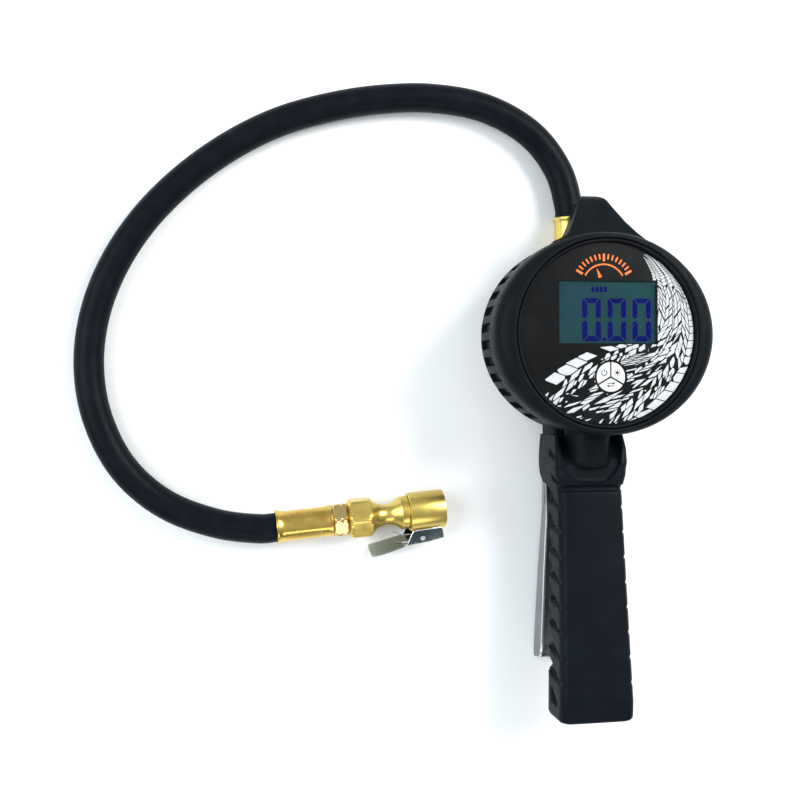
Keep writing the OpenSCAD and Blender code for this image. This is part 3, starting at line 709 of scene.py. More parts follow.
def boot_ring():
    angles = []
    for i in range(NOTCHES):
        middle = 360.0 * (i + 0.5) / NOTCHES
        open_side = abs(math.cos(math.radians(middle))) > 0.45
        for step in NOTCH_STEPS:
            inside = 1.0 if open_side and abs(step) < 2.5 else 0.0
            angles.append((math.radians(middle + step), inside))
    piece = Piece()
    rings = []
    for a, b, z in BOOT_PROFILE:
        in_zone = NOTCH_BOTTOM < z < NOTCH_TOP
        ring = []
        for turn, inside in angles:
            cut = NOTCH_DEPTH * inside if in_zone else 0.0
            ring.append(((a - cut) * math.cos(turn), (b - cut) * math.sin(turn), z))
        rings.append(ring)
    return piece.loft(rings, closed_rings=True)


def lug_section(y, shrink=0.0):
    """The lug at one place along Y: top, back, and how far out each side is at the top and at the back."""
    top = keyed(LUG_TOP, y) - shrink
    back = keyed(LUG_BACK, y) + shrink
    drop = LUG_LEAN * (top - back)
    left = keyed(LUG_LEFT, y) - shrink
    right = keyed(LUG_HALF, y) - shrink
    return top, back, left, max(1.2, left - drop), right, max(1.2, right - drop)


def boot_lug():
    rings = []
    stations = [38.5, 41.0, 42.5, 44.0, 45.5, 47.5, 50.0, 53.0, 57.0, 61.0, 64.0, 65.2, 66.0, 66.4]
    for y in stations:
        top, back, left, left_foot, right, right_foot = lug_section(y, max(0.0, y - 64.6) ** 2 * 0.55)
        radius = min(2.0, left_foot * 0.6)
        outline = fillet([(-left_foot, back), (right_foot, back), (right, top), (-left, top)],
                         (radius, radius, 2.6, 1.6), 6)
        rings.append([(p.x, y, p.y) for p in outline])
    return Piece().loft(rings)


def hole_outline():
    return fillet([(55.2, 33.0), (64.2, 33.6), (64.2, 39.8), (55.2, 41.2)], 2.9, 7)


def lug_hole():
    rings = []
    for x in (-40.0, -13.0, 13.0, 40.0):
        rings.append([(x, p.x, p.y) for p in hole_outline()])
    return Piece().loft(rings)


def lug_side(y, z, side):
    top, back, left, left_foot, right, right_foot = lug_section(y)
    share = (z - back) / (top - back)
    return -left_foot - (left - left_foot) * share if side < 0 else right_foot + (right - right_foot) * share


def lug_rims():
    """Rounded lips where the hole comes out through the lug's two slanted sides."""
    piece = Piece()
    for side in (-1, 1):
        loop = [Vector((lug_side(p.x, p.y, side) - 0.1 * side, p.x, p.y)) for p in hole_outline()]
        rings = []
        for i, p in enumerate(loop):
            along = (loop[(i + 1) % len(loop)] - loop[i - 1]).normalized()
            out = Vector((1.0, 0.0, 0.0))
            up = along.cross(out).normalized()
            out = up.cross(along)
            rings.append(wire_ring(p, LIP_R, out, up))
        piece.loft(rings, closed_rings=True)
    return piece


def make_boot():
    neck = Piece().turned([(-56.0, 11.1), (-40.0, 11.1)], 48).mapped(along_y(0.0, 35.0))
    ring = boot_ring()
    ring.build("boot_shell", "boot", slot="boot_rubber", replaces=["boot"], plus=[boot_lug()],
               minus=[lug_hole(), neck], sharp=32)
    lug_rims().build("boot_loop_lips", "boot", slot="boot_rubber")


def make_bezel():
    profile = [(60.1, 41.45), (65.2, 41.45), (65.75, 41.6), (66.1, 42.0), (66.15, 42.4), (65.9, 42.7),
               (60.1, 42.75)]
    ring = Piece().turned(profile, 128, closed=True).mapped(upright())
    ring.build("bezel_ring", "case", slot="case_black", replaces=["gauge_bezel"], sharp=50)


# ---- grip sleeve ----
SLEEVE_HALF = [(-181.4, 18.3), (-120.0, 16.7), (-76.0, 15.8), (-72.5, 15.75), (-69.5, 16.4),
               (-66.0, 17.35), (-62.0, 17.8), (-58.0, 17.8), (-52.0, 17.45), (-46.8, 16.9)]
SLEEVE_FRONT = [(-181.4, 50.7), (-74.8, 41.9), (-73.6, 41.7), (-72.7, 40.5), (-71.3, 40.4), (-70.2, 42.7),
                (-69.4, 43.2), (-66.0, 43.3), (-60.0, 43.0), (-53.0, 41.0), (-46.8, 37.8)]
SLEEVE_BACK = [(-181.4, 22.6), (-104.0, 19.8), (-71.2, 19.7), (-70.2, 14.2), (-46.8, 14.0)]
SLEEVE_ROOF = [(-181.4, 22.6), (-104.0, 19.8), (-74.6, 19.8), (-67.2, 19.9), (-66.4, 27.5), (-46.8, 27.5)]
SCOOP_HALF = [(-69.6, 4.6), (-68.0, 7.4), (-64.6, 11.2), (-60.0, 14.0), (-53.0, 15.3), (-46.8, 15.5)]
SCOOP_FLOOR = [(-69.6, 43.1), (-68.6, 41.9), (-67.2, 41.3), (-61.5, 40.9), (-58.0, 39.4), (-54.0, 36.6),
               (-50.0, 33.6), (-46.8, 31.2)]
GROOVE_PITCH = 11.7
GROOVE_FIRST = -81.4
GROOVE_RISE = 0.34
GROOVE_CUT = 2.4
SIDE_STEPS = 22
DISH_Y = -167.5
DISH_DROP = 1.5


def groove_depth(y, z, front):
    """How far a side groove cuts in. Grooves climb from the front edge to the back and widen on the way."""
    back_by = front - z
    line = y - GROOVE_RISE * back_by
    number = round((GROOVE_FIRST - line) / GROOVE_PITCH)
    if not -2 <= number <= 8:
        return 0.0
    off = line - (GROOVE_FIRST - number * GROOVE_PITCH)
    half = 0.9 + 2.3 * ease(2.0, 16.0, back_by)
    shape = ease(-half - 0.5, -half + 0.5, off) * (1.0 - ease(half - 0.5, half + 0.5, off))
    if number < 0:
        shape *= ease(0.6, 1.6, back_by) * (1.0 - ease(7.0, 9.0, back_by)) * 0.7
    elif number == 8:
        shape *= ease(5.0, 7.0, back_by) * (1.0 - ease(13.0, 16.0, back_by)) * 0.8
    else:
        shape *= 0.4 + 0.6 * ease(0.5, 6.0, back_by)
    return GROOVE_CUT * shape


def front_line(y, half, front, corner):
    """The front of a section from its middle outwards: scoop floor, scoop wall and flat top, in (x, z)."""
    scoop = keyed(SCOOP_HALF, y)
    floor = keyed(SCOOP_FLOOR, y) if y > SCOOP_FLOOR[0][0] else front
    drop = front - floor
    line = []
    for share in (0.0, 0.25, 0.5, 0.75, 0.92):
        line.append((scoop * share, floor + drop * 0.12 * share ** 3))
    for share in (0.0, 0.12, 0.3, 0.6, 0.85, 0.96, 1.0):
        line.append((scoop * (0.96 + 0.04 * share), floor + drop * (0.12 + 0.88 * share)))
    for share in (0.1, 0.5, 1.0):
        line.append((scoop + (half - corner - scoop) * share, front))
    dished = []
    for x, z in line:
        dish = DISH_DROP * ease(0.0, 9.0, DISH_Y - 0.02 * x * x - y)
        dished.append((x, z - dish + 0.25 * math.cos(x / half * 1.4) * (1.0 if drop == 0 else 0.0)))
    return dished


def sleeve_section(y, shrink=0.0):
    half = keyed(SLEEVE_HALF, y)
    front = keyed(SLEEVE_FRONT, y)
    back = keyed(SLEEVE_BACK, y)
    roof = max(keyed(SLEEVE_ROOF, y), back)
    room = half - keyed(SCOOP_HALF, y)
    corner = min(4.6, max(0.7, room - 0.6))
    rear = keyed([(-90.0, 7.5), (-74.0, 2.0), (-71.3, 0.2)], y)
    line = front_line(y, half, front, corner)
    top = line[-1][1]
    right = list(line)
    for k in range(1, 7):
        a = math.pi / 2 * k / 6
        cut = groove_depth(y, top - corner * (1 - math.cos(a)), front - 2.0) * (k / 6) ** 2
        right.append((half - corner + corner * math.sin(a) - cut, top - corner * (1 - math.cos(a))))
    low = back + rear
    for k in range(1, SIDE_STEPS):
        z = top - corner + (low - top + corner) * k / SIDE_STEPS
        right.append((half - groove_depth(y, z, front - 2.0), z))
    for k in range(0, 6):
        a = math.pi / 2 * k / 5
        z = low - rear * math.sin(a)
        right.append((half - rear * (1 - math.cos(a)) - groove_depth(y, z, front - 2.0) * (1 - k / 5), z))
    inner = min(15.95, half - rear)
    right += [(inner, back), (inner - 0.05, roof), (inner * 0.6, roof), (0.0, roof)]
    middle = Vector((0.0, (front + back) / 2))
    outline = [Vector(p) for p in right] + [Vector((-p[0], p[1])) for p in reversed(right[1:-1])]
    if shrink:
        size = Vector((half, (front - back) / 2))
        outline = [middle + Vector(((p.x - middle.x) * (1 - shrink / size.x),
                                    (p.y - middle.y) * (1 - shrink / size.y))) for p in outline]
    return [(p.x, y, p.y) for p in outline]


def make_sleeve():
    stations = [(-181.4, 3.0), (-181.2, 1.9), (-180.7, 0.9), (-180.0, 0.3), (-179.0, 0.05)]
    rings = [sleeve_section(y, shrink) for y, shrink in stations]
    count = 150
    rings += [sleeve_section(-177.6 + (177.6 - 74.6) * i / count) for i in range(count + 1)]
    fine = 70
    rings += [sleeve_section(-74.0 + (74.0 - 46.8) * i / fine) for i in range(fine + 1)]
    inlet = Piece().turned([(-118.0, 9.7), (-92.0, 9.7)], 48).mapped(grip_axis)
    body = Piece().loft(rings)
    body.build("grip_sleeve", "grip", slot="black_grip", replaces=["handle_sleeve"], minus=[inlet], sharp=40)
    marks = Piece()
    for x, y, z, r in ((2.4, -166.0, 49.45, 0.55), (3.4, -180.4, 46.5, 0.8)):
        dot = Piece().turned([(-0.3, 0.01), (-0.25, r), (0.1, r * 0.8), (0.3, 0.01)], 16)
        dot.mapped(upright(x, y, z))
        marks.add(dot.verts, dot.faces)
    marks.build("grip_mould_marks", "grip", slot="black_grip")


# ---- trigger lever ----
LEVER_T = 1.2
LEVER_HALF = [(-103.9, 18.0), (-60.0, 17.2), (-20.0, 15.8), (-11.1, 15.5)]
LEVER_LEAN = [(-103.9, 2.6), (-30.0, 1.9), (-11.1, 0.0)]
LEVER_FLANGE = [(-103.9, 3.4), (-102.0, 6.0), (-99.0, 7.4), (-75.0, 7.1), (-23.0, 4.7), (-11.1, 4.6)]


def lever_layer(y, tip, near, far):
    """One layer of the lever's rounded channel, between two depths below its outer face."""
    height = keyed(LEVER_FLANGE, y)
    half = keyed(LEVER_HALF, y)
    curl = max(0.0, 3.0 - (y - tip))
    rise = min(3.0 - math.sqrt(max(0.0, 9.0 - curl * curl)), height - LEVER_T - 0.3)
    top = half - keyed(LEVER_LEAN, y)
    outer = fillet([(-top + near, height), (-half + near, rise + near), (half - near, rise + near),
                    (top - near, height)], (0.0, 2.4, 2.4, 0.0), 5, closed=False)
    inner = fillet([(top - far, height), (half - far, rise + far), (-half + far, rise + far),
                    (-top + far, height)], (0.0, 1.6, 1.6, 0.0), 5, closed=False)
    return [(p.x, y, min(p.y, height)) for p in outer + inner]


def lever_rim(tip):
    """The rolled edge that runs down one side, across the tip and back up the other side."""
    def corner(y, side):
        half = keyed(LEVER_HALF, y) - keyed(LEVER_LEAN, y) - 0.3
        return (side * half, y, keyed(LEVER_FLANGE, y))
    ys = [-14.0 - 6.0 * i for i in range(15)] + [tip + 1.6]
    left = [corner(y, -1) for y in ys]
    right = [corner(y, 1) for y in reversed(ys)]
    ends = [(left[-1][0] + 0.5, tip + 0.3, 4.4), (right[0][0] - 0.5, tip + 0.3, 4.4)]
    return left + ends + right


def lever_ear(side):
    """The round eye on the pin, running into the channel's flange."""
    shape = [(-26.0, 0.6), (-26.0, 4.7), (-12.0, 5.2), (-7.6, 7.4)]
    shape += arc(0.4, 3.1, 8.4, 140, -100, 18)
    shape += [(-6.0, -3.4), (-11.5, 0.2)]
    outline = fillet(shape, 1.2, 3)
    flat = Piece().plate(outline, 0.0, LEVER_T + 0.35, 0.25)
    start = 15.55 - LEVER_T - 0.35 if side > 0 else -15.55
    return flat.mapped(lambda p: Vector((start + p[2], p[0], p[1])))


def make_lever():
    tip = -103.9
    stations = [tip, tip + 0.4, tip + 1.0, tip + 1.8, tip + 3.0]
    stations += [tip + 3.0 + (91.0 - 3.0) * i / 24 for i in range(1, 25)]
    stations += [-12.2, -11.4, -11.1]
    shell = Piece().loft([lever_layer(y, tip, 0.0, 0.7) for y in stations])
    shell.build("trigger_plate", "chrome", "trigger", "chrome", ["trigger_lever"], in_lever, sharp=50)
    lining = Piece().loft([lever_layer(y, tip, 0.7, LEVER_T) for y in stations[1:]])
    lining.build("trigger_lining", "satin", "trigger", "chrome", (), in_lever, sharp=50)
    # The rolled edge is drawn in the paler chrome copy: a painted highlight along the rim.
    rim = wire_path(Piece(), lever_rim(tip), 0.62, 10)
    rim.build("trigger_rolled_edge_painted_highlight", "chrome_painted_highlight", "trigger", "chrome", (), in_lever, sharp=60)
    both_sides(lever_ear).build("trigger_ears", "chrome", "trigger", "chrome", (), in_lever, sharp=50)


# ---- casting ----
def turned_on_y(profile, z, segments=64):
    return Piece().turned(profile, segments).mapped(along_y(0.0, z))


def make_casting():
    pipe = [(-44.0, 0.01), (-44.0, 7.6), (-43.0, 8.9), (-40.0, 9.0), (28.0, 9.0), (29.0, 9.6),
            (35.0, 9.6), (37.4, 9.3), (38.0, 8.4), (38.0, 5.1), (30.0, 5.0), (30.0, 0.01)]
    body = turned_on_y(pipe, HOSE_Z)
    parts = [
        rounded_box(Piece(), -12, 12, -42, 36, 0, 7, 1.2),
        rounded_box(Piece(), -12, 12, -65, -38, 0.6, 21.5, 1.6),
        rounded_box(Piece(), -13.4, 13.4, -65, -47, 11, 28, 1.6),
        rounded_box(Piece(), -12, 12, -86, -60, 17, 39.8, 1.6),
        turned_on_y([(-62.6, 0.01), (-62.6, 8.0), (-62.0, 9.6), (-60.6, 10.6), (-59.0, 10.8), (-43.6, 10.8),
                     (-43.2, 10.4), (-43.2, 3.6), (-50.0, 3.6), (-50.0, 0.01)], 35.0),
    ]
    thread = []
    for i in range(9):
        at = -CORE_END + 0.9 + i * 1.34
        thread += [(at, 6.5), (at + 0.67, 5.75)]
    boss = [(-CORE_END, 6.9), (-CORE_END, 8.8), (-CORE_END + 0.6, 9.4), (-92.0, 9.4), (-92.0, 0.01),
            (-CORE_END + 16, 0.01), (-CORE_END + 12.6, 4.6),
            (-CORE_END + 12.4, 5.7)] + list(reversed(thread))
    boss_piece = Piece().turned(boss, 64, closed=True).mapped(grip_axis)
    valve = Piece().turned([(36.0, 6.05), (44.0, 6.05)], 48).mapped(upright(0.0, PLUNGER_Y))
    body.build("valve_casting", "casting", slot="black_casting", replaces=["valve_body"], plus=parts,
               minus=[valve], sharp=36)
    boss_piece.build("inlet_boss", "casting", slot="black_casting", sharp=36)
    core = Piece()
    rounded_box(core, -10, 10, -92.0, 4, -8.4, 8.4, 1.5)
    core.build("grip_core_casting", "casting", slot="black_casting", place=in_grip)


# ---- hose ends and chuck ----
def hexagon(flats, phase, start, end):
    """A radius limit that leaves six flats between two places along the axis."""
    def limit(a, along):
        if not start <= along <= end:
            return 99.0
        turn = (math.degrees(a) - phase) % 60.0 - 30.0
        return flats / math.cos(math.radians(turn))
    return limit


def crimped(start, end):
    def limit(a, along):
        if not start < along < end:
            return 99.0
        turn = math.degrees(a) % 45.0 - 22.5
        return 7.12 / math.cos(math.radians(turn)) ** 0.75
    return limit


def ferrule_profile(length, mouth_at_zero=True):
    outer = [(0.0, 7.2), (0.0, 7.9), (0.3, 8.1), (0.8, 8.1), (1.4, 7.85), (2.2, 7.5), (3.2, 7.35)]
    outer += [(x, 7.35) for x in (4.2, length * 0.4, length * 0.6, length - 3.0)]
    outer += [(length - 2.0, 7.5), (length - 1.0, 7.6), (length - 0.4, 7.5), (length, 7.1), (length, 5.2)]
    outer += [(4.2, 5.2), (4.0, 7.05), (1.0, 7.08)]
    return outer if mouth_at_zero else [(length - x, r) for x, r in outer]


def make_ferrules():
    far = Piece().turned(ferrule_profile(27.0), 96, crimped(3.6, 24.5), closed=True)
    far.build("hose_end_crimp", "brass_crimp", slot="brass", replaces=["end_ferrule"],
              place=in_chuck, sharp=30)
    near = Piece().turned(ferrule_profile(16.5, False), 96, crimped(2.5, 12.9), closed=True)
    near.mapped(along_y(44.0, HOSE_Z))
    near.build("hose_gun_crimp", "brass_gun", slot="brass", replaces=["gun_ferrule"], sharp=30)


def make_union():
    profile = [(30.0, 2.6), (30.0, 5.0), (38.1, 5.0), (38.1, 8.0), (38.9, 8.9), (43.1, 8.9), (43.9, 8.0),
               (43.9, 2.6)]
    nut = Piece().turned(profile, 96, hexagon(7.7, 0.0, 38.15, 43.85), closed=True)
    nut.mapped(along_y(0.0, HOSE_Z))
    nut.build("hose_union_nut", "brass_gun", slot="brass", replaces=["hose_union"], sharp=30)


def make_chuck():
    small = [(27.05, 2.7), (27.05, 7.2), (27.6, 7.9), (28.3, 8.6), (30.6, 8.6), (30.9, 8.1), (31.5, 8.1),
             (31.8, 8.6), (33.0, 8.6), (33.5, 7.9), (34.0, 6.6), (34.45, 6.4), (34.45, 2.7)]
    nut = Piece().turned(small, 120, hexagon(7.5, 68.0, 27.3, 33.6), closed=True)
    nut.build("swivel_hexagon", "copper", slot="copper_brass", replaces=["swivel_nut"],
              place=in_chuck, sharp=28)
    big = [(34.55, 2.7), (34.55, 8.0), (35.1, 8.9), (35.8, 9.6), (36.6, 10.1), (43.4, 10.1), (44.6, 9.7),
           (45.6, 8.9), (46.6, 7.9), (47.8, 6.8), (49.4, 5.8), (51.2, 5.1), (53.2, 4.8), (55.0, 4.95),
           (56.8, 5.6), (58.4, 6.7), (59.6, 7.6), (60.3, 8.0), (60.6, 8.0), (60.8, 7.75), (61.2, 7.75),
           (61.4, 8.0), (63.3, 8.0), (63.6, 7.8), (63.95, 7.7), (63.95, 2.7)]
    body = Piece().turned(big, 144, hexagon(8.75, 76.0, 34.6, 45.9), closed=True)
    body.build("chuck_hexagon_body", "brass_chuck", slot="brass", replaces=["chuck_body"],
               place=in_chuck, sharp=28)
    make_chuck_head()


def make_chuck_head():
    def flats(a, along):
        """A milled flat under the clip, from the shoulder to the mouth."""
        if along < 65.0:
            return 99.0
        off = math.atan2(math.sin(a - math.radians(197.0)), math.cos(a - math.radians(197.0)))
        return 8.25 / math.cos(off) if abs(off) < 1.0 else 99.0
    profile = [(64.05, 2.8), (64.05, 8.9), (64.4, 9.25), (64.9, 9.3), (80.9, 9.3), (81.3, 9.15), (81.5, 8.8),
               (81.5, 4.9), (80.6, 4.1), (71.5, 4.1), (71.4, 4.65), (68.4, 4.65), (68.3, 2.8)]
    head = Piece().turned(profile, 128, flats, closed=True)
    block = rounded_box(Piece(), CLIP_X - 3, CLIP_X + 3, -CLIP_D - 1.6, -6.0, -4, 4, 0.6)
    reliefs = [rounded_box(Piece(), 63.0, 82.5, -14, -6.0, 5.1, 12, 0.2),
               rounded_box(Piece(), 63.0, 82.5, -14, -6.0, -12, -5.1, 0.2)]
    slot = rounded_box(Piece(), 76.4, 80.0, -14, -3, -2.2, 2.2, 0.3)
    head.build("chuck_round_head", "brass_chuck", slot="brass", replaces=["chuck_head"], place=in_chuck,
               plus=[block], minus=[slot] + reliefs, sharp=30)


# ---- clip ----
CLIP_LINE = [(44.4, -7.3), (50.4, -6.2), (57.0, -4.6), (62.6, -3.4), (66.6, -2.9), (72.6, -2.55),
             (76.0, -1.9), (80.2, -1.1)]


def clip_height(x):
    return keyed(CLIP_LINE, x) - CLIP_D


def make_clip():
    thick = 0.75
    rings = []
    count = 160
    for i in range(count + 1):
        x = 44.4 + (80.2 - 44.4) * i / count
        tail = max(0.0, 1.0 - (x - 44.4) / 1.2)
        half = CLIP_HALF + 0.5 * (1 - ease(48.0, 62.0, x)) - 0.9 * tail * tail
        tooth = 0.2 * math.sin((x - 44.4) * 2 * math.pi / 1.35) if x < 60.5 else 0.0
        low = clip_height(x)
        ring = []
        for face, order in ((-1, range(13)), (1, range(12, -1, -1))):
            for k in order:
                z = -half + 2 * half * k / 12
                bow = 0.35 * (z / half) ** 2
                edge = 1.0 if k in (0, 12) else 0.0
                dent = abs(tooth) * edge if face < 0 else 0.0
                ring.append((x, low + face * thick / 2 + bow - dent, z + tooth * edge * (1 if k else -1)))
        rings.append(ring)
    plate = Piece().loft(rings)
    # Side walls in the darker copy of the clip metal: painted shade.
    both_sides(clip_ear).build("clip_ears", "clip_side_painted_shade", "clip", "chrome", (), in_chuck, sharp=40)
    # Thin wires in the paler chrome copy along the side walls' upper edges: a painted highlight line.
    edge = Piece()
    for side in (-1, 1):
        z = side * (CLIP_HALF - 0.3)
        spots = [(61.9, -3.4), (63.6, 0.3), (65.3, 3.7), (66.4, 4.05), (72.0, 4.25), (78.8, 4.45),
                 (79.7, 3.5)]
        wire_path(edge, [(x, y - CLIP_D, z) for x, y in spots], 0.38)
    edge.build("clip_rolled_edges_painted_highlight", "chrome_painted_highlight", "clip", "chrome", (), in_chuck, sharp=60)
    tooth = rounded_box(Piece(), 76.7, 77.8, -CLIP_D - 2.4, -4.95, -1.8, 1.8, 0.3)
    plate.add(tooth.verts, tooth.faces)
    plate.build("clip_sheet", "clip", "clip", "chrome", ["clip_lever"], in_chuck, sharp=40)


def clip_ear(side):
    """A three-cornered side wall, its edges chamfered."""
    shape = [(61.6, -3.6), (65.2, 3.6), (66.4, 4.0), (72.0, 4.2), (78.8, 4.4), (79.6, 3.6), (80.2, -1.2),
             (72.6, -2.6), (66.6, -3.0)]
    outline = fillet([(x, y - CLIP_D) for x, y in shape], 0.7, 3)
    wall = Piece().plate(outline, 0.0, 0.8, 0.15)
    start = CLIP_HALF - 0.8 if side > 0 else -CLIP_HALF
    return wall.mapped(lambda p: Vector((p[0], p[1], start + p[2])))


def make_clip_spring():
    wire = 0.35
    coil_piece = coil(Piece(), 1.75, wire, 4.45, 5.0, 1.5, 24, 8)
    coil_piece.mapped(upright(CLIP_X, -CLIP_D))
    leg = wire_path(Piece(), [(CLIP_X, -CLIP_D - 1.75, 4.7), (66.0, -CLIP_D - 1.8, 4.6),
                              (61.4, -CLIP_D - 2.7, 3.4), (58.6, -CLIP_D - 3.5, 1.0),
                              (57.6, -CLIP_D - 3.7, -0.6)], wire)
    leg.build("clip_spring_leg", "spring", "clip", "spring_steel", (), in_chuck, sharp=60)
    wire_path(coil_piece, [(CLIP_X - 1.7, -CLIP_D + 0.4, 4.9), (64.0, -CLIP_D + 1.8, 4.6),
                           (60.0, -CLIP_D + 1.9, 4.2), (57.0, -CLIP_D + 3.0, 3.7),
                           (55.3, -CLIP_D + 4.0, 3.3)], wire)
    coil_piece.build("clip_torsion_spring", "spring", slot="spring_steel", replaces=["clip_spring"],
                     place=in_chuck, sharp=60)


def make_valve_spring():
    """The plunger's return spring, wound closer at its ends."""
    low, high, stroke = 27.05, 35.95, 1.96
    spring = coil(Piece(), 3.35, 0.42, low + 0.42, high - 0.42, 5.5, 26, 8, 0.5)
    spring.mapped(upright(0.0, PLUNGER_Y))
    obj = spring.build("valve_return_spring", "spring", slot="spring_steel", replaces=["valve_spring"],
                       sharp=60)
    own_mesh(obj)


# ---- print on the face ----
PRINT_Z = 64.02
INK = 0.05
# Right, bottom and top edges of the display window
WINDOW_EDGES = (23.6, -4.9, 24.3)
KEY_AT = Vector((1.0, -19.6))
LENS_R = 40.7
TRACK_LEFT = [(0.0, (13.2, 38.3)), (0.12, (17.6, 33.6)), (0.24, (20.6, 27.6)), (0.36, (22.6, 18.0)),
              (0.48, (20.5, 6.0)), (0.6, (10.0, -3.0)), (0.72, (-6.0, -6.0)), (0.84, (-20.0, -13.0)),
              (1.0, (-36.0, -25.0))]
TRACK_RIGHT = [(0.0, (15.0, 38.2)), (0.12, (25.0, 33.6)), (0.24, (33.0, 26.0)), (0.36, (39.5, 14.0)),
               (0.48, (41.8, 0.0)), (0.6, (39.5, -15.0)), (0.72, (31.0, -29.0)), (0.84, (18.0, -41.0)),
               (1.0, (-2.0, -52.0))]
TRACK_COLUMNS = (0.0, 0.13, 0.3, 0.48, 0.52, 0.7, 0.87, 1.0)


def track_edge(edge, along):
    return Vector([keyed([(t, p[k]) for t, p in edge], along) for k in (0, 1)])


def on_track(across, along):
    return track_edge(TRACK_LEFT, along).lerp(track_edge(TRACK_RIGHT, along), across)


def cut_by_line(outline, point, normal):
    """The part of a flat outline on the side of the line that its normal points to."""
    out = []
    for i, p in enumerate(outline):
        q = outline[(i + 1) % len(outline)]
        dp = (p - point).dot(normal)
        dq = (q - point).dot(normal)
        if dp >= 0:
            out.append(p)
        if dp * dq < 0:
            out.append(p.lerp(q, dp / (dp - dq)))
    return out


def size_of(outline):
    return abs(sum(a.x * b.y - b.x * a.y for a, b in zip(outline, outline[1:] + outline[:1]))) / 2


def trimmed(outline):
    """Keep a printed shape inside the lens and off the window and the keys."""
    for k in range(40):
        a = 2 * math.pi * k / 40
        out = Vector((math.cos(a), math.sin(a)))
        outline = cut_by_line(outline, out * LENS_R, -out)
        if len(outline) < 3:
            return []
    x1, y0, y1 = WINDOW_EDGES
    if any(p.x < x1 and p.y > y0 for p in outline):
        beside = cut_by_line(outline, Vector((x1, 0)), Vector((1, 0)))
        below = cut_by_line(outline, Vector((0, y0)), Vector((0, -1)))
        above = cut_by_line(outline, Vector((0, y1)), Vector((0, 1)))
        outline = max((beside, below, above), key=lambda o: size_of(o) if len(o) > 2 else 0.0)
    if len(outline) < 3:
        return []
    middle = sum(outline, Vector((0, 0))) / len(outline)
    away = (middle - KEY_AT)
    if away.length < 6.0:
        return []
    away.normalize()
    if any((p - KEY_AT).dot(away) < 7.7 and (p - KEY_AT).length < 12.0 for p in outline):
        outline = cut_by_line(outline, KEY_AT + away * 7.7, away)
    return outline if len(outline) > 2 and size_of(outline) > 0.12 else []


def track_block(u0, u1, t0, t1, slant, groove):
    """One tread block as an outline, its ends slanted across the track."""
    corners = [(u0, t0), (u1, t0 + slant), (u1, t1 + slant), (u0, t1)]
    flat = [on_track(min(max(u, 0.0), 1.0), min(max(t, 0.0), 1.0)) for u, t in corners]
    if size_of(flat) < 0.15:
        return []
    return inset(flat, groove)


def track_pieces(u0, u1, t, step, wide):
    """The blocks of one row of one column, as spans across and along the track."""
    if not wide or t < 0.3:
        return [(u0, u1, t, t + step)]
    count = 2 if t < 0.62 else 3
    spans = []
    for i in range(count):
        left = u0 + (u1 - u0) * i / count
        right = u0 + (u1 - u0) * (i + 1) / count
        shift = step * random.uniform(0.0, 0.5)
        if t > 0.62 and random.random() < 0.5:
            middle = t + shift + step * random.uniform(0.4, 0.6)
            spans += [(left, right, t + shift, middle), (left, right, middle, t + shift + step)]
        else:
            spans.append((left, right, t + shift, t + shift + step))
    return spans


def make_track():
    random.seed(11)
    piece = Piece()
    for column, (u0, u1) in enumerate(zip(TRACK_COLUMNS, TRACK_COLUMNS[1:])):
        t = 0.005
        side = 1.0 if column % 2 else -1.0
        wide = u1 - u0 > 0.155
        while t < 0.99:
            step = 0.009 + 0.05 * t ** 1.35
            slant = side * (0.006 + 0.035 * t) * (1.0 if wide else 0.4)
            for a, b, c, d in track_pieces(u0, u1, t, step, wide):
                if t > 0.7 and column < 5 and random.random() < (t - 0.66) * 1.1:
                    continue
                outline = track_block(a, b, c, d, slant, 0.13 + 0.28 * t)
                outline = worn_block(outline, t) if outline else []
                outline = trimmed(outline) if outline else []
                if outline:
                    piece.plate(outline, PRINT_Z, PRINT_Z + INK)
            t += step
    piece.build("tread_print", "white", slot="key_white", sharp=20)


def worn_block(outline, t):
    """Chip the corners of the larger blocks, more so towards the near end of the track."""
    if t < 0.5 or size_of(outline) < 3.0:
        return outline
    middle = sum(outline, Vector((0, 0))) / len(outline)
    for corner in list(outline):
        if random.random() < 0.5:
            inward = (middle - corner).normalized()
            angle = random.uniform(-0.5, 0.5)
            normal = Vector((inward.x * math.cos(angle) - inward.y * math.sin(angle),
                             inward.x * math.sin(angle) + inward.y * math.cos(angle)))
            outline = cut_by_line(outline, corner + inward * random.uniform(0.3, 1.4), normal)
            if len(outline) < 3:
                return []
    return outline


def make_scale():
    """A plain dial scale in orange: ticks on an arc, a line under them and a needle."""
    piece = Piece()
    middle = Vector((-2.0, 21.0))
    count = 15
    for i in range(count):
        a = math.radians(150.0 - 120.0 * i / (count - 1))
        out = Vector((math.cos(a), math.sin(a)))
        side = Vector((-out.y, out.x))
        reach, half = (11.6, 0.55) if i % 7 == 0 else (12.6, 0.38)
        quad = [middle + out * reach - side * half, middle + out * 15.0 - side * half,
                middle + out * 15.0 + side * half, middle + out * reach + side * half]
        piece.plate(quad, PRINT_Z, PRINT_Z + INK)
    outer = arc(middle.x, middle.y, 10.6, 150, 30, 28)
    inner = arc(middle.x, middle.y, 9.9, 30, 150, 28)
    piece.plate(outer + inner, PRINT_Z, PRINT_Z + INK)
    a = math.radians(112.0)
    out = Vector((math.cos(a), math.sin(a)))
    side = Vector((-out.y, out.x))
    foot = middle + out * 4.6
    piece.plate([foot - side * 0.9, middle + out * 9.2, foot + side * 0.9], PRINT_Z, PRINT_Z + INK)
    piece.build("scale_print", "orange", slot="face_black", sharp=20)


# ---- display and keys ----
DIGIT_Z = 62.86
DIGIT_W = 8.8
DIGIT_H = 19.4
BAR = 2.6
SPLIT = 0.18


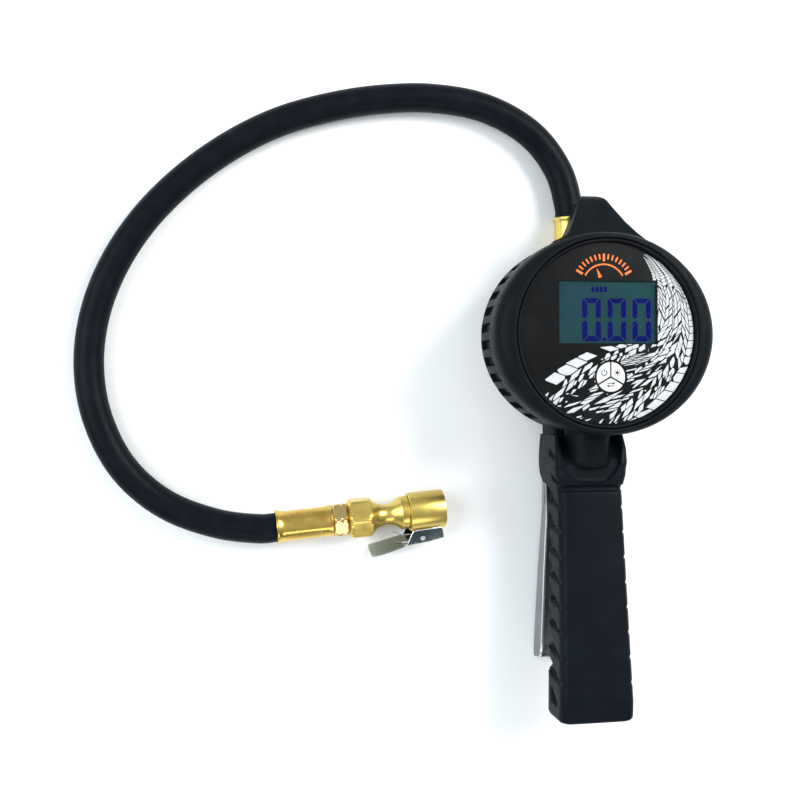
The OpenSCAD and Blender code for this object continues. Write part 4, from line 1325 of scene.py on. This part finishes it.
def digit_zero(piece, x, y):
    """A seven-segment zero: three bars on each half with mitred ends, and none across the middle."""
    w, h, b, s = DIGIT_W, DIGIT_H, BAR, SPLIT
    half = h / 2
    for flip in (1, -1):
        top = [(0.7 + s, half), (w - 0.7 - s, half), (w - b - s, half - b + 0.35), (b + s, half - b + 0.35)]
        left = [(0.0, half - 0.9), (0.45, half - 0.35), (b - s, half - b + 0.1), (b - s, 1.6),
                (b * 0.5, 0.55), (0.0, 1.4)]
        right = [(w - p[0], p[1]) for p in left]
        for shape in (top, left, right):
            piece.plate([(x + p[0], y + half + flip * p[1]) for p in shape], DIGIT_Z, DIGIT_Z + 0.04)


def make_digits():
    piece = Piece()
    for x in (-12.0, 0.0, 11.9):
        digit_zero(piece, x, -3.4)
    piece.plate(arc(-1.6, -2.6, 0.9, 0, 330, 11), DIGIT_Z, DIGIT_Z + 0.04)
    for i in range(4):
        x = -7.6 + i * 1.95
        piece.plate([(x, 18.8), (x + 1.45, 18.8), (x + 1.45, 21.2), (x, 21.2)], DIGIT_Z, DIGIT_Z + 0.04)
    piece.build("display_segments", "digits", slot="display_glass", sharp=20)


def ring_outline(cx, cy, r, width, start, end, steps=20):
    return arc(cx, cy, r + width / 2, start, end, steps) + arc(cx, cy, r - width / 2, end, start, steps)


def bar_outline(a, b, width):
    a, b = Vector(a), Vector(b)
    side = (b - a).normalized()
    side = Vector((-side.y, side.x)) * width / 2
    return [a - side, b - side, b + side, a + side]


def make_key_marks():
    z0, z1 = 64.06, 64.1
    power = Piece()
    cx, cy = KEY_AT.x - 3.1, KEY_AT.y + 1.9
    power.plate(ring_outline(cx, cy, 1.25, 0.38, 125, 415), z0, z1)
    power.plate(bar_outline((cx, cy + 0.2), (cx, cy + 1.7), 0.38), z0, z1)
    power.build("power_mark", "ink", "power_button", "face_black", sharp=20)
    light = Piece()
    cx, cy = KEY_AT.x + 3.1, KEY_AT.y + 1.9
    light.plate(arc(cx, cy, 0.75, 0, 340, 17), z0, z1)
    for k in range(8):
        a = math.pi / 4 * k
        out = Vector((math.cos(a), math.sin(a)))
        light.plate(bar_outline(Vector((cx, cy)) + out * 1.1, Vector((cx, cy)) + out * 1.75, 0.3), z0, z1)
    light.build("light_mark", "ink", "light_button", "face_black", sharp=20)
    unit = Piece()
    cx, cy = KEY_AT.x, KEY_AT.y - 3.5
    for s in (-1, 1):
        y = cy + 0.6 * s
        unit.plate(bar_outline((cx - 1.7 * s, y), (cx + 1.0 * s, y), 0.36), z0, z1)
        unit.plate([(cx + 2.0 * s, y), (cx + 0.9 * s, y + 0.62), (cx + 0.9 * s, y - 0.62)], z0, z1)
    unit.build("unit_mark", "ink", "unit_button", "face_black", sharp=20)


# ---- run ----
make_camera()
make_floor()
make_light()
dress_cad_nodes()
make_boot()
make_bezel()
make_sleeve()
make_lever()
make_casting()
make_ferrules()
make_union()
make_chuck()
make_clip()
make_clip_spring()
make_valve_spring()
make_track()
make_scale()
make_digits()
make_key_marks()
hose, hose_exit, hose_length = make_hose()
